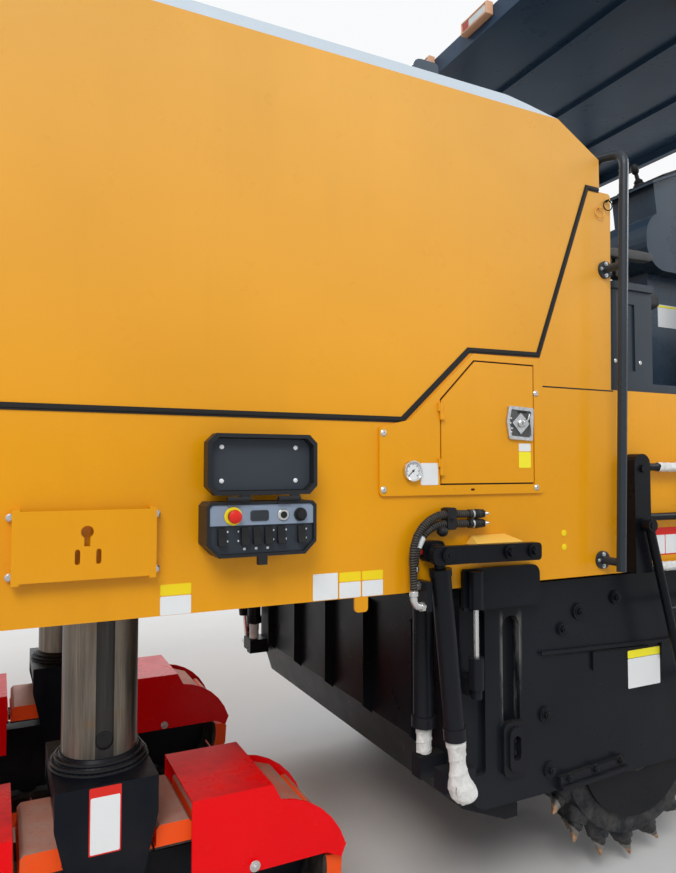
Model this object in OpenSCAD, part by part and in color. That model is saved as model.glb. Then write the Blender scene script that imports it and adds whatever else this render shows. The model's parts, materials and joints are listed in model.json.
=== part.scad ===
// Cold planer milling machine on four steered, height-adjustable tracks.
// Lengths are millimetres, +X is forward, +Y is the machine's left, +Z is up.
// Inside the modules x = 0 is the milling drum's axis; in_row() moves it to the row's origin.

/* [Body] */
// Overhang of each yellow side past the milling drum's end
side_over = 80; // [60:5:140]
// Height of the body's underside above the ground
belly_z = 1262; // [1150:1:1400]
// Height of the parting line under the engine hood
waist_z = 1860; // [1800:1:1950]
// Height of the lower band's top beside the operator's deck
band_z = 2021; // [1980:1:2100]
// Height of the hood's side edge
hood_z = 3113; // [2950:1:3300]
// Gap between the hood and the body below it
hood_gap = 12; // [6:1:20]
// Rear end of the hood, behind the drum's axis
rear_x = 3650; // [3400:10:4200]
// Front end of the main frame, ahead of the drum's axis
front_x = 3400; // [3200:10:3900]
// Thickness of the body's side plates
side_t = 30; // [20:1:50]
// Width of each of the two side beams
beam_w = 560; // [500:10:600]

/* [Legs] */
// Rear legs, behind the drum's axis
rear_leg_x = 2152; // [2000:1:2400]
// Front legs, ahead of the drum's axis
front_leg_x = 2500; // [2350:10:2700]
// Distance from the body's side to a leg's centre
leg_inset = 380; // [340:1:420]
// Diameter of a leg's sliding column
column_d = 240; // [200:1:280]
// Wall of the steering ring round the column
ring_wall = 24; // [18:1:34]
// Wall of the guide tube in the frame
tube_wall = 22; // [16:1:30]
// Running gap between sliding or turning round faces
slide_gap = 0.3; // [0.2:0.05:0.6]
// Height of the yoke's top plate
yoke_z = 735; // [715:1:790]
// Length of a yoke along the track
yoke_l = 304; // [260:1:340]

/* [Tracks] */
// Length of a track over its shoes
track_l = 1640; // [1500:10:1800]
// Height of a track over its shoes
track_h = 560; // [500:5:600]
// Width of the track shoes
shoe_w = 360; // [300:5:400]
// Thickness of a shoe's pad
shoe_t = 62; // [50:1:75]
// Number of shoes on each track
shoe_n = 26; // [20:1:32]
// Width over a track's guards
guard_w = 410; // [390:5:440]
// Height of the guards' flat top
guard_z = 622; // [600:1:690]

/* [Milling drum] */
// Radius to the tips of the picks
tip_r = 505; // [460:5:520]
// Radius of the drum's tube
drum_r = 395; // [340:5:405]
// Height of the drum's axis
drum_z = 545; // [540:5:600]
// Length of the drum over its end rings
drum_l = 2000; // [1800:10:2200]
// Number of picks on each of the two spirals
pick_n = 28; // [12:1:48]
// Number of picks round each end of the drum
edge_n = 18; // [12:1:24]

/* [Side plates] */
// Thickness of a side plate
plate_t = 34; // [24:1:45]
// Height of the side plates' lower edge
plate_z = 440; // [420:5:520]
// Width of the guide slot
slot_w = 80; // [60:1:100]

/* [Discharge conveyor] */
// Length of the rear section from its pivot
boom_l = 5000; // [4600:10:5400]
// Length of the folding front section
jib_l = 2100; // [1800:10:2300]
// Angle of the discharge conveyor above the level
boom_tilt = 14; // [8:1:20]
// Width of the discharge conveyor
boom_w = 900; // [800:10:1000]
// Height of the conveyor's tilting pivot
pivot_z = 1420; // [1380:5:1500]

/* [Operator's deck] */
// Length of the operator's deck
deck_l = 2100; // [1900:10:2200]
// Height of the deck's side walls above its floor
wall_h = 430; // [300:10:600]
// Height of the canopy's underside
canopy_z = 4000; // [3900:10:4100]
// Diameter of the handrails' tube
rail_d = 38; // [32:1:48]

/* [Hidden] */
$fn = 48;
side_y = drum_l / 2 + side_over;
leg_y = side_y - leg_inset;
// Slewing pin of the discharge conveyor
slew_x = front_x + 560;
// The boom's tilting pivot lies ahead of the slewing pin, its head roll above the trough's floor
pivot_x = slew_x + 60;
roll_z = 60;
roll_r = 130;
tip_x = pivot_x + (boom_l + jib_l) * cos(boom_tilt) - roll_z * sin(boom_tilt) + roll_r;
row_shift = (rear_x - tip_x) / 2;
// Sliding and turning fits of a leg
column_r = column_d / 2;
ring_in = column_r + slide_gap;
ring_out = ring_in + ring_wall;
tube_in = ring_out + slide_gap;
tube_out = tube_in + tube_wall;
column_top = belly_z + 560;
tube_top = column_top + 460;
ring_h = 240;
key_w = 56;
key_d = 14;
key_z = yoke_z + 95;
yellow = [0.93, 0.62, 0.07];
black = [0.07, 0.07, 0.08];
slate = [0.16, 0.2, 0.24];
steel = [0.55, 0.53, 0.49];
pad_tan = [0.6, 0.42, 0.28];
red = [0.82, 0.03, 0.04];

module in_row() { translate([row_shift, 0, 0]) children(); }
module both_sides() { children(); mirror([0, 1, 0]) children(); }
// A side profile in (x, z), extruded from y to y + w
module side_profile(points, y, w) {
  translate([0, y + w, 0]) rotate([90, 0, 0]) linear_extrude(w) polygon(points);
}
// A cross-section in (y, z), extruded from x to x + l
module cross_profile(points, x, l) {
  translate([x, 0, 0]) rotate([90, 0, 90]) linear_extrude(l) polygon(points);
}
// A block given by its lower corner and its size
module block(p, s) { translate(p) cube(s); }
// A round bar between two points in a plane of constant y
module bar_xz(a, b, y, r) {
  dx = b[0] - a[0];
  dz = b[1] - a[1];
  translate([a[0], y, a[1]]) rotate([0, atan2(dx, dz), 0]) cylinder(h = norm([dx, dz]), r = r);
}
// A round bar across the machine
module cross_bar(x, z, y, w, r) {
  translate([x, y, z]) rotate([-90, 0, 0]) cylinder(h = w, r = r);
}

// Rounded corners: rows of [x, y, corner radius] become an outline with n flats to a corner
function unit(v) = v / norm(v);
function flat(p) = [p[0], p[1]];
function corner(a, b, c, r, n) = let (u = unit(a - b), v = unit(c - b), h = acos(u * v) / 2,
  m = b + unit(u + v) * r / sin(h), p = b + u * r / tan(h) - m, q = b + v * r / tan(h) - m,
  s = 180 - 2 * h) [for (k = [0:n]) m + (p * sin(s * (1 - k / n)) + q * sin(s * k / n)) / sin(s)];
function rounded(rows, n = 4) = [for (i = [0:len(rows) - 1]) each rows[i][2] == 0 ? [flat(rows[i])] :
  corner(flat(rows[(i + len(rows) - 1) % len(rows)]), flat(rows[i]), flat(rows[(i + 1) % len(rows)]), rows[i][2], n)];
function slab(l, w, r) = rounded([[0, -w / 2, r], [l, -w / 2, r], [l, w / 2, r], [0, w / 2, r]]);
// A route of rows [x, y, z, bend radius], and a tube swept along it with its rings square to it
function at(p) = [p[0], p[1], p[2]];
function bends(route, n) = [at(route[0]), for (i = [1:len(route) - 2])
  each corner(at(route[i - 1]), at(route[i]), at(route[i + 1]), route[i][3], n), at(route[len(route) - 1])];
module swept_tube(path, r, sides, across) {
  last = len(path) - 1;
  rings = [for (i = [0:last]) let (t = unit(path[min(i + 1, last)] - path[max(i - 1, 0)]),
    b = unit(cross(t, across)), a = cross(b, t))
    for (k = [0:sides - 1]) path[i] + r * (cos(360 * k / sides) * a + sin(360 * k / sides) * b)];
  walls = [for (i = [0:last - 1]) for (k = [0:sides - 1])
    [i * sides + k, (i + 1) * sides + k, (i + 1) * sides + (k + 1) % sides, i * sides + (k + 1) % sides]];
  polyhedron(rings, concat(walls, [[for (k = [0:sides - 1]) k], [for (k = [sides - 1:-1:0]) last * sides + k]]));
}

// The parting line between the body and the hood, as (x, z) on the body's side
part_a = [-1200, waist_z];
part_b = [-912, waist_z + 267];
part_c = [-578, waist_z + 273];
part_d = [-303, hood_z - 262];
plate_x = -172;
plate_foot = -186;
deck_front = plate_foot + deck_l;
frame_rear = -rear_x + 50;
// Hinge of the hood, low in its rear wall
hood_wall = 40;
hood_pin = [-rear_x + hood_wall / 2, waist_z + 45];
lug_y = 880;
lug_w = 60;
lash_x = [frame_rear + 200, front_x - 250];
lash_y = side_y - 90;
module main_frame() {
  color(yellow) in_row() difference() {
    union() {
      both_sides() {
        // side beam, stepped down to the front
        side_profile([[frame_rear, belly_z], [front_x, belly_z], [front_x, band_z - 260], [front_x - 400, band_z],
          [plate_foot, band_z], [part_a[0], waist_z], [frame_rear, waist_z]], side_y - beam_w, beam_w);
        // front cowl over the front legs
        side_profile(rounded([[deck_front, band_z - 20, 0], [front_x - 420, band_z - 20, 0],
          [front_x - 500, band_z + 330, 90], [deck_front, band_z + 330, 0]]), side_y - beam_w, beam_w);
      }
      // lugs and pins of the hood's hinge
      both_sides() {
        side_profile([[frame_rear + 1, waist_z - 130], [frame_rear + 1, waist_z], [hood_pin[0] + 14, hood_pin[1] + 12],
          [hood_pin[0], hood_pin[1] + 18], [hood_pin[0] - 14, hood_pin[1] + 10], [hood_pin[0] - 16, hood_pin[1] - 12],
          [frame_rear - 14, waist_z - 90]], lug_y, lug_w);
        cross_bar(hood_pin[0], hood_pin[1], lug_y - 35, lug_w + 70, 9);
      }
      // lashing eyes under the side beams
      for (x = lash_x) both_sides() difference() {
        side_profile(rounded([[x - 74, belly_z + 1, 0], [x - 48, belly_z - 86, 40], [x + 48, belly_z - 86, 40],
          [x + 74, belly_z + 1, 0]]), lash_y - 15, 30);
        cross_bar(x, belly_z - 42, lash_y - 20, 40, 25);
      }
      // tie tab under the right side
      side_profile(rounded([[-1390, belly_z + 1, 0], [-1390, belly_z - 50, 12], [-1341, belly_z - 50, 12],
        [-1341, belly_z + 1, 0]]), -side_y, 10);
    }
    for (x = [-rear_leg_x, front_leg_x]) both_sides()
      translate([x, leg_y, belly_z - 10]) cylinder(h = tube_top, r = tube_out);
  }
}
module cross_members() {
  color(yellow) in_row() {
    // tank between the beams, behind the drum housing
    block([frame_rear, -side_y + beam_w, belly_z], [-frame_rear - 1150, 2 * (side_y - beam_w), waist_z - belly_z]);
    // bulkhead behind the operator's deck, resting on the beams
    side_profile([[plate_foot - side_t, band_z - side_t * (band_z - waist_z) / (plate_foot - part_a[0])],
      [plate_foot, band_z], [plate_foot, part_d[1]], [plate_foot - side_t, part_d[1]]], side_t - side_y, 2 * (side_y - side_t));
  }
}
// Plates on the beams, ahead of the parting line
module column_plates() {
  color(yellow) in_row() both_sides()
    side_profile(rounded([[plate_foot, band_z, 0], [part_a[0], part_a[1], 0], [part_b[0], part_b[1], 0],
      [part_c[0], part_c[1], 0], [part_d[0], part_d[1], 0], [plate_x, part_d[1], 16]]), side_y - side_t, side_t);
}

engine = [2050, 840, 760];
module engine_block() {
  color("dimgray") in_row() block([-3150, -engine[1] / 2, waist_z], engine);
}

// Frame of the milling drum under the body
housing_x = 760;
cheek_in = drum_l / 2 + 8;
housing_y = cheek_in + 12;
journal_r = 140;
hub_r = 320;
trough_w = 800;
slot_x = -752;
slot_z0 = plate_z + 105;
slot_z1 = 1135;
guide_h = 170;
scraper_cyl = [-1035, drum_l / 2 - 50];
module drum_housing() {
  color(black) in_row() difference() {
    union() {
      // roof over the drum and the wall ahead of it
      side_profile([[-640, belly_z], [-640, 1140], [-560, 1100], [housing_x - 100, 1100],
        [housing_x - 100, 480], [housing_x, 480], [housing_x, belly_z]], -housing_y, 2 * housing_y);
      // bearing cheeks with the drum's round hubs
      both_sides() side_profile([[-790, belly_z], [-790, slot_z0 - 20], [-420, slot_z0 - 20], [-330, 480],
        [330, 480], [housing_x, 480], [housing_x, belly_z]], cheek_in, housing_y - cheek_in);
      both_sides() cross_bar(0, drum_z, cheek_in, housing_y - cheek_in, hub_r);
      // stiffening ribs on the front wall
      for (y = [-3:3]) if (abs(y) > 1) side_profile([[housing_x - 1, belly_z - 1], [housing_x + 70, belly_z - 1],
        [housing_x + 24, 520], [housing_x - 1, 520]], y * 300 - 10, 20);
    }
    both_sides() cross_bar(0, drum_z, cheek_in - 20, 200, journal_r + slide_gap);
    // way for the milled material onto the gathering conveyor
    block([housing_x - 200, -trough_w / 2 + 40, 660], [400, trough_w - 80, 360]);
  }
  // guide blocks in the side plates' slots
  color(black) in_row() both_sides() difference() {
    union() {
      block([slot_x + slide_gap, housing_y, slot_z0 + 15], [slot_w - 2 * slide_gap, plate_y + plate_t - housing_y + 1, guide_h]);
      side_profile(rounded([[slot_x - 14, slot_z0 - 2, 30], [slot_x + slot_w + 14, slot_z0 - 2, 30],
        [slot_x + slot_w + 14, slot_z0 + 200, 12], [slot_x - 14, slot_z0 + 200, 30]]), plate_y + plate_t + 1, 20);
      side_profile(rounded([[slot_x + 6, slot_z0 + 18, 30], [slot_x + slot_w - 6, slot_z0 + 18, 30],
        [slot_x + slot_w - 6, slot_z0 + 180, 30], [slot_x + 6, slot_z0 + 180, 30]]), plate_y + plate_t + 20, 12);
    }
    // oblong recess over the block's two bolts
    side_profile(rounded([[slot_x + 22, slot_z0 + 60, 17], [slot_x + slot_w - 22, slot_z0 + 60, 17],
      [slot_x + slot_w - 22, slot_z0 + 150, 17], [slot_x + 22, slot_z0 + 150, 17]]), plate_y + plate_t + 8, 40);
  }
  // barrels of the scraper's cylinders
  color(black) in_row() both_sides() translate([scraper_cyl[0], scraper_cyl[1], 0]) difference() {
    union() {
      translate([0, 0, 740]) cylinder(h = belly_z - 740, r = 40);
      translate([0, 0, 740]) cylinder(h = 40, r = 46);
      translate([0, 0, belly_z - 60]) cylinder(h = 60, r = 52);
    }
    translate([0, 0, 739]) cylinder(h = belly_z - 780, r = 22 + slide_gap);
  }
}

module leg_tubes() {
  color(black) in_row() for (x = [-rear_leg_x, front_leg_x]) both_sides()
    translate([x, leg_y, 0]) difference() {
      translate([0, 0, belly_z]) cylinder(h = tube_top - belly_z, r = tube_out - slide_gap);
      translate([0, 0, belly_z - 1]) cylinder(h = ring_h + 1 + slide_gap, r = tube_in);
      translate([0, 0, belly_z + ring_h]) cylinder(h = tube_top - belly_z - ring_h - 20, r = ring_in);
    }
}

// Operator's deck with its walls, their coaming and the sleeves of the canopy's posts
deck_rear = plate_x + 6;
deck_w = 2 * side_y - 40;
deck_end = deck_front - 2;
wall_top = band_z + 40 + wall_h;
post_x = [600, deck_front - 110];
post_y = 930;
post_r = 38;
module operator_deck() {
  color(slate) in_row() {
    difference() {
      union() {
        translate([deck_rear, 0, band_z]) linear_extrude(wall_h + 40) polygon(slab(deck_end - deck_rear, deck_w, 40));
        translate([deck_rear, 0, wall_top - 30]) linear_extrude(30) polygon(slab(deck_end - deck_rear, deck_w + 24, 40));
      }
      translate([deck_rear + 30, 0, band_z + 40]) linear_extrude(wall_h + 10)
        polygon(slab(deck_end - deck_rear - 60, deck_w - 60, 20));
      // ways in from both ladders
      both_sides() block([90, side_y - 60, band_z + 40], [400, 80, wall_h + 10]);
      // recessed panels in the walls
      both_sides() for (x = [deck_rear + 60, 560, 1130]) block([x, deck_w / 2 - 8, band_z + 90],
        [x < 0 ? 90 : 500, 20, wall_h - 140]);
    }
    for (x = post_x) both_sides() translate([x, post_y, band_z + 40]) difference() {
      union() {
        cylinder(h = 1000, r = post_r + 12);
        cylinder(h = 14, r = post_r + 50);
        translate([0, 0, 960]) cylinder(h = 40, r = post_r + 18);
      }
      translate([0, 0, 40]) cylinder(h = 1000, r = post_r + slide_gap);
    }
  }
}

// Left and right control consoles: pedestal, round-ended body and flared hood
module consoles() {
  color(slate) in_row() both_sides() {
    side_profile([[600, band_z + 40], [1020, band_z + 40], [1080, band_z + 760], [560, band_z + 760]], 520, 130);
    side_profile(rounded([[470, band_z + 690, 140], [1140, band_z + 690, 30], [1140, band_z + 1000, 30],
      [470, band_z + 1000, 140]], 8), 440, 290);
    side_profile([[560, band_z + 990], [1120, band_z + 990], [1150, band_z + 1292], [882, band_z + 1292],
      [540, band_z + 1148]], 450, 270);
    // sheet that flares out over the console
    side_profile([[500, band_z + 1130], [880, band_z + 1290], [1170, band_z + 1290], [1170, band_z + 1300],
      [876, band_z + 1300], [500, band_z + 1142]], 420, 330);
  }
}

module seats() {
  color(black) in_row() both_sides() {
    side_profile(rounded([[10, band_z + 40, 0], [250, band_z + 40, 0], [200, band_z + 424, 0], [60, band_z + 424, 0]]), 560, 250);
    side_profile(rounded([[-80, band_z + 420, 30], [400, band_z + 420, 40], [400, band_z + 530, 50],
      [-80, band_z + 520, 30]]), 460, 450);
    side_profile(rounded([[-60, band_z + 500, 20], [40, band_z + 510, 20], [-20, band_z + 960, 40],
      [-120, band_z + 960, 40]]), 470, 430);
    for (y = [445, 885]) side_profile(rounded([[-40, band_z + 620, 20], [300, band_z + 640, 25], [300, band_z + 690, 20],
      [-60, band_z + 690, 20]]), y, 50);
  }
}

// Handrails: each rises on the body's side and turns in over the bulkhead
rail_y = side_y + 100;
rail_top = 2985;
rail_route = [[-257, rail_y, belly_z + 25, 0], [-200, rail_y, rail_top, 60], [-200, side_y - 80, rail_top + 35, 60],
  [-200, side_y - 80, part_d[1], 0]];
module handrails() {
  color(slate) in_row() both_sides() {
    swept_tube(bends(rail_route, 6), rail_d / 2, 12, [1, 0, 0]);
    for (p = [[-255, belly_z + 60], [-214, 2522]]) {
      cross_bar(p[0], p[1], side_y, 100, 16);
      cross_bar(p[0], p[1], side_y, 10, 36);
    }
  }
}

// Service cover round the door, and the keyhole bracket plate
cover_t = 10;
cover = [[-1300, 1600, 14], [-568, 1600, 14], [-568, 2120, 0], [-900, 2120, 0], [-1177, 1866, 0], [-1300, 1838, 14]];
door = [[-1045, 1641], [-618, 1641], [-618, 2090], [-894, 2090], [-1045, 1938]];
door_gap = 6;
door_hinge_x = door[0][0] - 3;
door_hinge_y = side_y + cover_t + 7;
door_hinge_z = [1670, 1870];
gauge = [-1172, 1686];
key_plate = [-2427, -2066, 1388, 1580];
module side_covers() {
  color(yellow) in_row() {
    difference() {
      side_profile(rounded(cover), -side_y - cover_t, cover_t);
      side_profile([for (p = door) [p[0] + (p[0] < -800 ? -door_gap : door_gap),
        p[1] + (p[1] < 1800 ? -door_gap : door_gap)]], -side_y - cover_t - 1, cover_t + 1);
      // slot under the door
      side_profile(rounded([[-916, 1612, 5], [-896, 1612, 5], [-896, 1622, 5], [-916, 1622, 5]]), -side_y - cover_t - 1, 6);
    }
    for (z = door_hinge_z) {
      translate([door_hinge_x, -door_hinge_y, z + 30 + slide_gap]) cylinder(h = 30, r = 7);
      block([door_hinge_x - 14, -door_hinge_y - 2, z + 30 + slide_gap], [14, 9, 30]);
    }
    // pressure gauge in its rim
    difference() {
      cross_bar(gauge[0], gauge[1], -side_y - cover_t - 16, 16, 36);
      cross_bar(gauge[0], gauge[1], -side_y - cover_t - 17, 6, 31);
    }
    // bracket plate on its studs, with a keyhole and two slots
    difference() {
      side_profile(rounded([[key_plate[0], key_plate[2], 6], [key_plate[1], key_plate[2], 6],
        [key_plate[1], key_plate[3], 6], [key_plate[0], key_plate[3], 6]]), -side_y - 36, 8);
      cross_bar(-2246, 1520, -side_y - 40, 20, 17);
      block([-2254, -side_y - 40, 1480], [16, 20, 40]);
      for (x = [-2278, -2222]) side_profile(rounded([[x, 1430, 6.5], [x + 14, 1430, 6.5], [x + 14, 1472, 6.5],
        [x, 1472, 6.5]]), -side_y - 40, 20);
    }
    for (s = [0, 1]) {
      x = key_plate[s];
      block([x - 10, -side_y - 36, key_plate[2] - 6], [20, 36, key_plate[3] - key_plate[2] + 12]);
      for (z = [1404, 1564]) cross_bar(x + (s > 0 ? 14 : -14), z, -side_y - 12, 12, 11);
    }
  }
}
module service_door() {
  color(yellow) in_row() {
    side_profile(door, -side_y - cover_t, cover_t - 1);
    // latch with its paddle
    difference() {
      side_profile(rounded([[-754, 1872, 0], [-742, 1806, 6], [-628, 1800, 8], [-622, 1926, 8], [-742, 1932, 6]]),
        -side_y - cover_t - 10, 10);
      side_profile(rounded([[-741, 1870, 0], [-731, 1818, 6], [-641, 1812, 8], [-635, 1914, 8], [-731, 1920, 6]]),
        -side_y - cover_t - 11, 6);
    }
    side_profile([[-728, 1868], [-688, 1824], [-644, 1866], [-688, 1906]], -side_y - cover_t - 12, 9);
    cross_bar(-687, 1866, -side_y - cover_t - 16, 14, 15);
    for (z = door_hinge_z) {
      translate([door_hinge_x, -door_hinge_y, z]) cylinder(h = 30, r = 7);
      block([door_hinge_x, -door_hinge_y - 3, z], [14, 6, 30]);
    }
  }
}

// Side control box and its lid, hinged along the box's upper edge
box_x = -1925;
box_w = 350;
box_d = 95;
box_z = 1432;
box_h = 164;
lid_t = 45;
lid_h = 184;
hinge_z = box_z + box_h + 8;
lid_y = side_y + box_d + 6;
hinge_at = [box_x + 60, box_x + box_w - 130];
// Rocker switches: distance from the box's left edge
rockers = [47, 118, 155, 192, 233, 300];
module control_box() {
  color(black) in_row() {
    difference() {
      side_profile(rounded([[box_x, box_z, 38], [box_x + box_w, box_z, 38], [box_x + box_w, box_z + box_h, 12],
        [box_x, box_z + box_h, 12]], 1), -side_y - box_d, box_d);
      side_profile(rounded([[box_x + 9, box_z + 9, 34], [box_x + box_w - 9, box_z + 9, 34],
        [box_x + box_w - 9, box_z + box_h - 8, 9], [box_x + 9, box_z + box_h - 8, 9]], 1), -side_y - box_d - 1, 13);
    }
    // switch panel, slanted at its lower half
    side_profile([[box_x + 20, box_z + 96], [box_x + box_w - 20, box_z + 96], [box_x + box_w - 20, box_z + box_h - 14],
      [box_x + 20, box_z + box_h - 14]], -side_y - box_d + 5, 8);
    for (x = rockers) block([box_x + x - 11, -side_y - box_d + 1, box_z + 38], [22, 12, 46]);
    // stop button, display, socket and knob
    cross_bar(box_x + 80, box_z + 122, -side_y - box_d + 1, 11, 24);
    cross_bar(box_x + 80, box_z + 122, -side_y - box_d - 14, 20, 18);
    block([box_x + 138, -side_y - box_d + 2, box_z + 112], [50, 10, 20]);
    cross_bar(box_x + 240, box_z + 122, -side_y - box_d + 2, 10, 15);
    cross_bar(box_x + 295, box_z + 122, -side_y - box_d - 6, 18, 18);
    // catch under the box
    block([box_x + 160, -side_y - box_d, box_z - 26], [28, 20, 34]);
    for (x = hinge_at) {
      translate([x, -lid_y, hinge_z]) rotate([0, 90, 0]) cylinder(h = 40, r = 8);
      block([x, -lid_y, hinge_z - 16], [40, 12, 18]);
    }
  }
}
module control_lid() {
  color(black) in_row() difference() {
    union() {
      side_profile(rounded([[box_x, hinge_z + 12, 26], [box_x + box_w, hinge_z + 12, 26],
        [box_x + box_w, hinge_z + 12 + lid_h, 26], [box_x, hinge_z + 12 + lid_h, 26]], 1), -lid_y, lid_t);
      for (x = hinge_at) translate([x + 40 + slide_gap, -lid_y, hinge_z]) rotate([0, 90, 0]) cylinder(h = 30, r = 8);
      for (x = hinge_at) block([x + 40 + slide_gap, -lid_y, hinge_z + 4], [30, 8, 12]);
    }
    // the tray inside the lid
    side_profile(rounded([[box_x + 12, hinge_z + 24, 22], [box_x + box_w - 12, hinge_z + 24, 22],
      [box_x + box_w - 12, hinge_z + lid_h, 22], [box_x + 12, hinge_z + lid_h, 22]], 1), -lid_y - 1, lid_t - 9);
  }
}

// Arms on the body's side that carry the lift cylinders, with a port block behind each cylinder
arm_pin = [-1092, 1400];
rod_eye = [-1010, plate_z + 150];
eye_w = 44;
cyl_y = side_y + 57;
arm_in = cyl_y + eye_w / 2 + 3;
module lift_arms() {
  color(black) in_row() both_sides() {
    // outer arm and its foot on the body
    side_profile(rounded([[-1150, 1366, 26], [-1150, 1430, 26], [-675, 1424, 16], [-675, 1360, 16],
      [-1000, 1366, 0]]), arm_in, 30);
    side_profile(rounded([[-880, 1364, 0], [-880, 1420, 0], [-675, 1418, 16], [-675, 1362, 16]]), side_y, arm_in - side_y + 1);
    for (x = [-826, -717]) {
      cross_bar(x, 1396, arm_in + 29, 10, 24);
      cross_bar(x, 1396, arm_in + 38, 16, 15, $fn = 6);
    }
    // inner ear and the pin with its head
    side_profile(rounded([[-1136, 1368, 20], [-1136, 1440, 20], [-1048, 1440, 20], [-1048, 1368, 20]]),
      side_y, cyl_y - eye_w / 2 - 3 - side_y);
    cross_bar(arm_pin[0], arm_pin[1], side_y + 1, arm_in + 38 - side_y, 14);
    cross_bar(arm_pin[0], arm_pin[1], arm_in + 29, 12, 25);
    block([-1150, side_y, 1205], [22, 70, 101]);
  }
}
cyl_a = atan2(rod_eye[0] - arm_pin[0], rod_eye[1] - arm_pin[1]);
cyl_l = norm(rod_eye - arm_pin);
// Along the cylinder from its upper pin
module on_cylinder(y) { translate([arm_pin[0], y, arm_pin[1]]) rotate([0, cyl_a, 0]) children(); }
module lift_barrel() {
  color(black) in_row() difference() {
    union() {
      on_cylinder(cyl_y) {
        translate([0, 0, 54]) cylinder(h = 590, r = 36);
        translate([0, 0, 20]) cylinder(h = 36, r = 20);
        translate([0, 0, 606]) cylinder(h = 42, r = 41);
        translate([0, 0, 54]) cylinder(h = 24, r = 40);
      }
      cross_bar(arm_pin[0], arm_pin[1], cyl_y - eye_w / 2, eye_w, 32);
    }
    cross_bar(arm_pin[0], arm_pin[1], cyl_y - 30, 60, 14 + slide_gap);
    on_cylinder(cyl_y) translate([0, 0, 75]) cylinder(h = 600, r = 20 + slide_gap);
  }
}
module lift_rod() {
  color("silver") in_row() difference() {
    union() {
      on_cylinder(cyl_y) translate([0, 0, 120]) cylinder(h = cyl_l - 130, r = 20);
      cross_bar(rod_eye[0], rod_eye[1], cyl_y - 26, 52, 34);
    }
    cross_bar(rod_eye[0], rod_eye[1], cyl_y - 30, 60, 14 + eye_slack);
  }
}
// Slack at a rod's eye, where the closed linkage is open
eye_slack = 4;
ram_slack = 9;
module rod_wrap() {
  color("whitesmoke") in_row() mirror([0, 1, 0]) on_cylinder(cyl_y) difference() {
    union() {
      translate([0, 0, 655]) cylinder(h = 60, r = 42);
      translate([0, 0, 714]) cylinder(h = 40, r1 = 42, r2 = 36);
    }
    translate([0, 0, 650]) cylinder(h = 130, r = 21);
  }
}

// Hydraulic hoses on the right side, from ports in the body down to the port block
hose_r = 12;
// Routes as [x, distance from the body's side, z, bend radius]
hose_a = [[-905, 30, 1530, 0], [-1190, 34, 1537, 150], [-1190, 54, 1222, 24], [-1150, 54, 1222, 0]];
hose_b = [[-905, 30, 1495, 0], [-1152, 28, 1502, 118], [-1178, 24, 1288, 22], [-1150, 24, 1288, 0]];
module hoses() {
  color(black) in_row() {
    for (route = [hose_a, hose_b]) {
      swept_tube(bends([for (p = route) [p[0], -side_y - p[1], p[2], p[3]]], 6), hose_r, 12, [0, 1, 0]);
      // ferrule and port on the body's side
      translate([route[0][0] - 40, -side_y - route[0][1], route[0][2] + 1]) rotate([0, 90, 0]) cylinder(h = 52, r = 16);
      block([route[0][0] + 4, -side_y - route[0][1] - 12, route[0][2] - 12], [24, route[0][1] + 12, 24]);
    }
    // clamp that holds both hoses to the side
    block([-1042, -side_y - 46, 1482], [30, 46, 70]);
  }
}

// Gathering conveyor from the drum up to the slewing pin
belt_a = 22;
belt_z = 620;
belt_l = (slew_x - 60 - housing_x) / cos(belt_a);
module gathering_conveyor() {
  color(black) in_row() difference() {
    translate([housing_x, 0, belt_z]) rotate([0, -belt_a, 0]) {
      difference() {
        block([-200, -trough_w / 2, 0], [belt_l + 200, trough_w, 300]);
        block([-210, -trough_w / 2 + 40, 90], [belt_l + 420, trough_w - 80, 230]);
      }
      translate([belt_l, trough_w / 2, 110]) rotate([90, 0, 0]) cylinder(h = trough_w, r = 110);
      // ribs across the trough's outside, and cleats on the belt
      for (x = [300:420:belt_l - 400]) both_sides() block([x, trough_w / 2 - 1, 0], [24, 26, 300]);
      for (x = [60:220:belt_l - 160]) block([x, -trough_w / 2 + 39, 89], [16, trough_w - 78, 26]);
    }
    // its foot stands against the drum housing's front wall
    block([housing_x - 600, -trough_w, 0], [600, 2 * trough_w, 1500]);
  }
}

// Front crossbeam with the slewing pin's arm
seat_z = belly_z - 100;
module front_frame() {
  color(black) in_row() {
    block([front_x - 300, -side_y + beam_w - 60, belly_z - 120], [300, 2 * (side_y - beam_w) + 120, 120]);
    side_profile([[front_x - 300, belly_z - 119], [front_x, belly_z - 300], [slew_x - 160, belly_z - 160],
      [slew_x - 160, seat_z], [front_x - 300, seat_z]], -160, 320);
    for (y = [-160, 140]) side_profile([[front_x - 120, belly_z - 240], [front_x - 40, belly_z - 330],
      [slew_x - 40, belly_z - 200], [slew_x - 40, belly_z - 150]], y, 20);
    translate([slew_x, 0, belly_z - 180]) cylinder(h = seat_z - belly_z + 180, r = 190);
    translate([slew_x, 0, seat_z - 1]) cylinder(h = 70, r = 60);
  }
}

module lamps() {
  color("lightyellow") in_row() both_sides() {
    // tail lamps, and work lamps at the front
    side_profile(rounded([[frame_rear - 24, 1500, 8], [frame_rear, 1500, 0], [frame_rear, 1600, 0],
      [frame_rear - 24, 1600, 8]]), 700, 180);
    for (z = [1480, 1620]) translate([front_x, 850, z]) rotate([0, 90, 0]) {
      cylinder(h = 30, r = 58);
      translate([0, 0, 29]) cylinder(h = 14, r1 = 58, r2 = 48);
    }
  }
}

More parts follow.
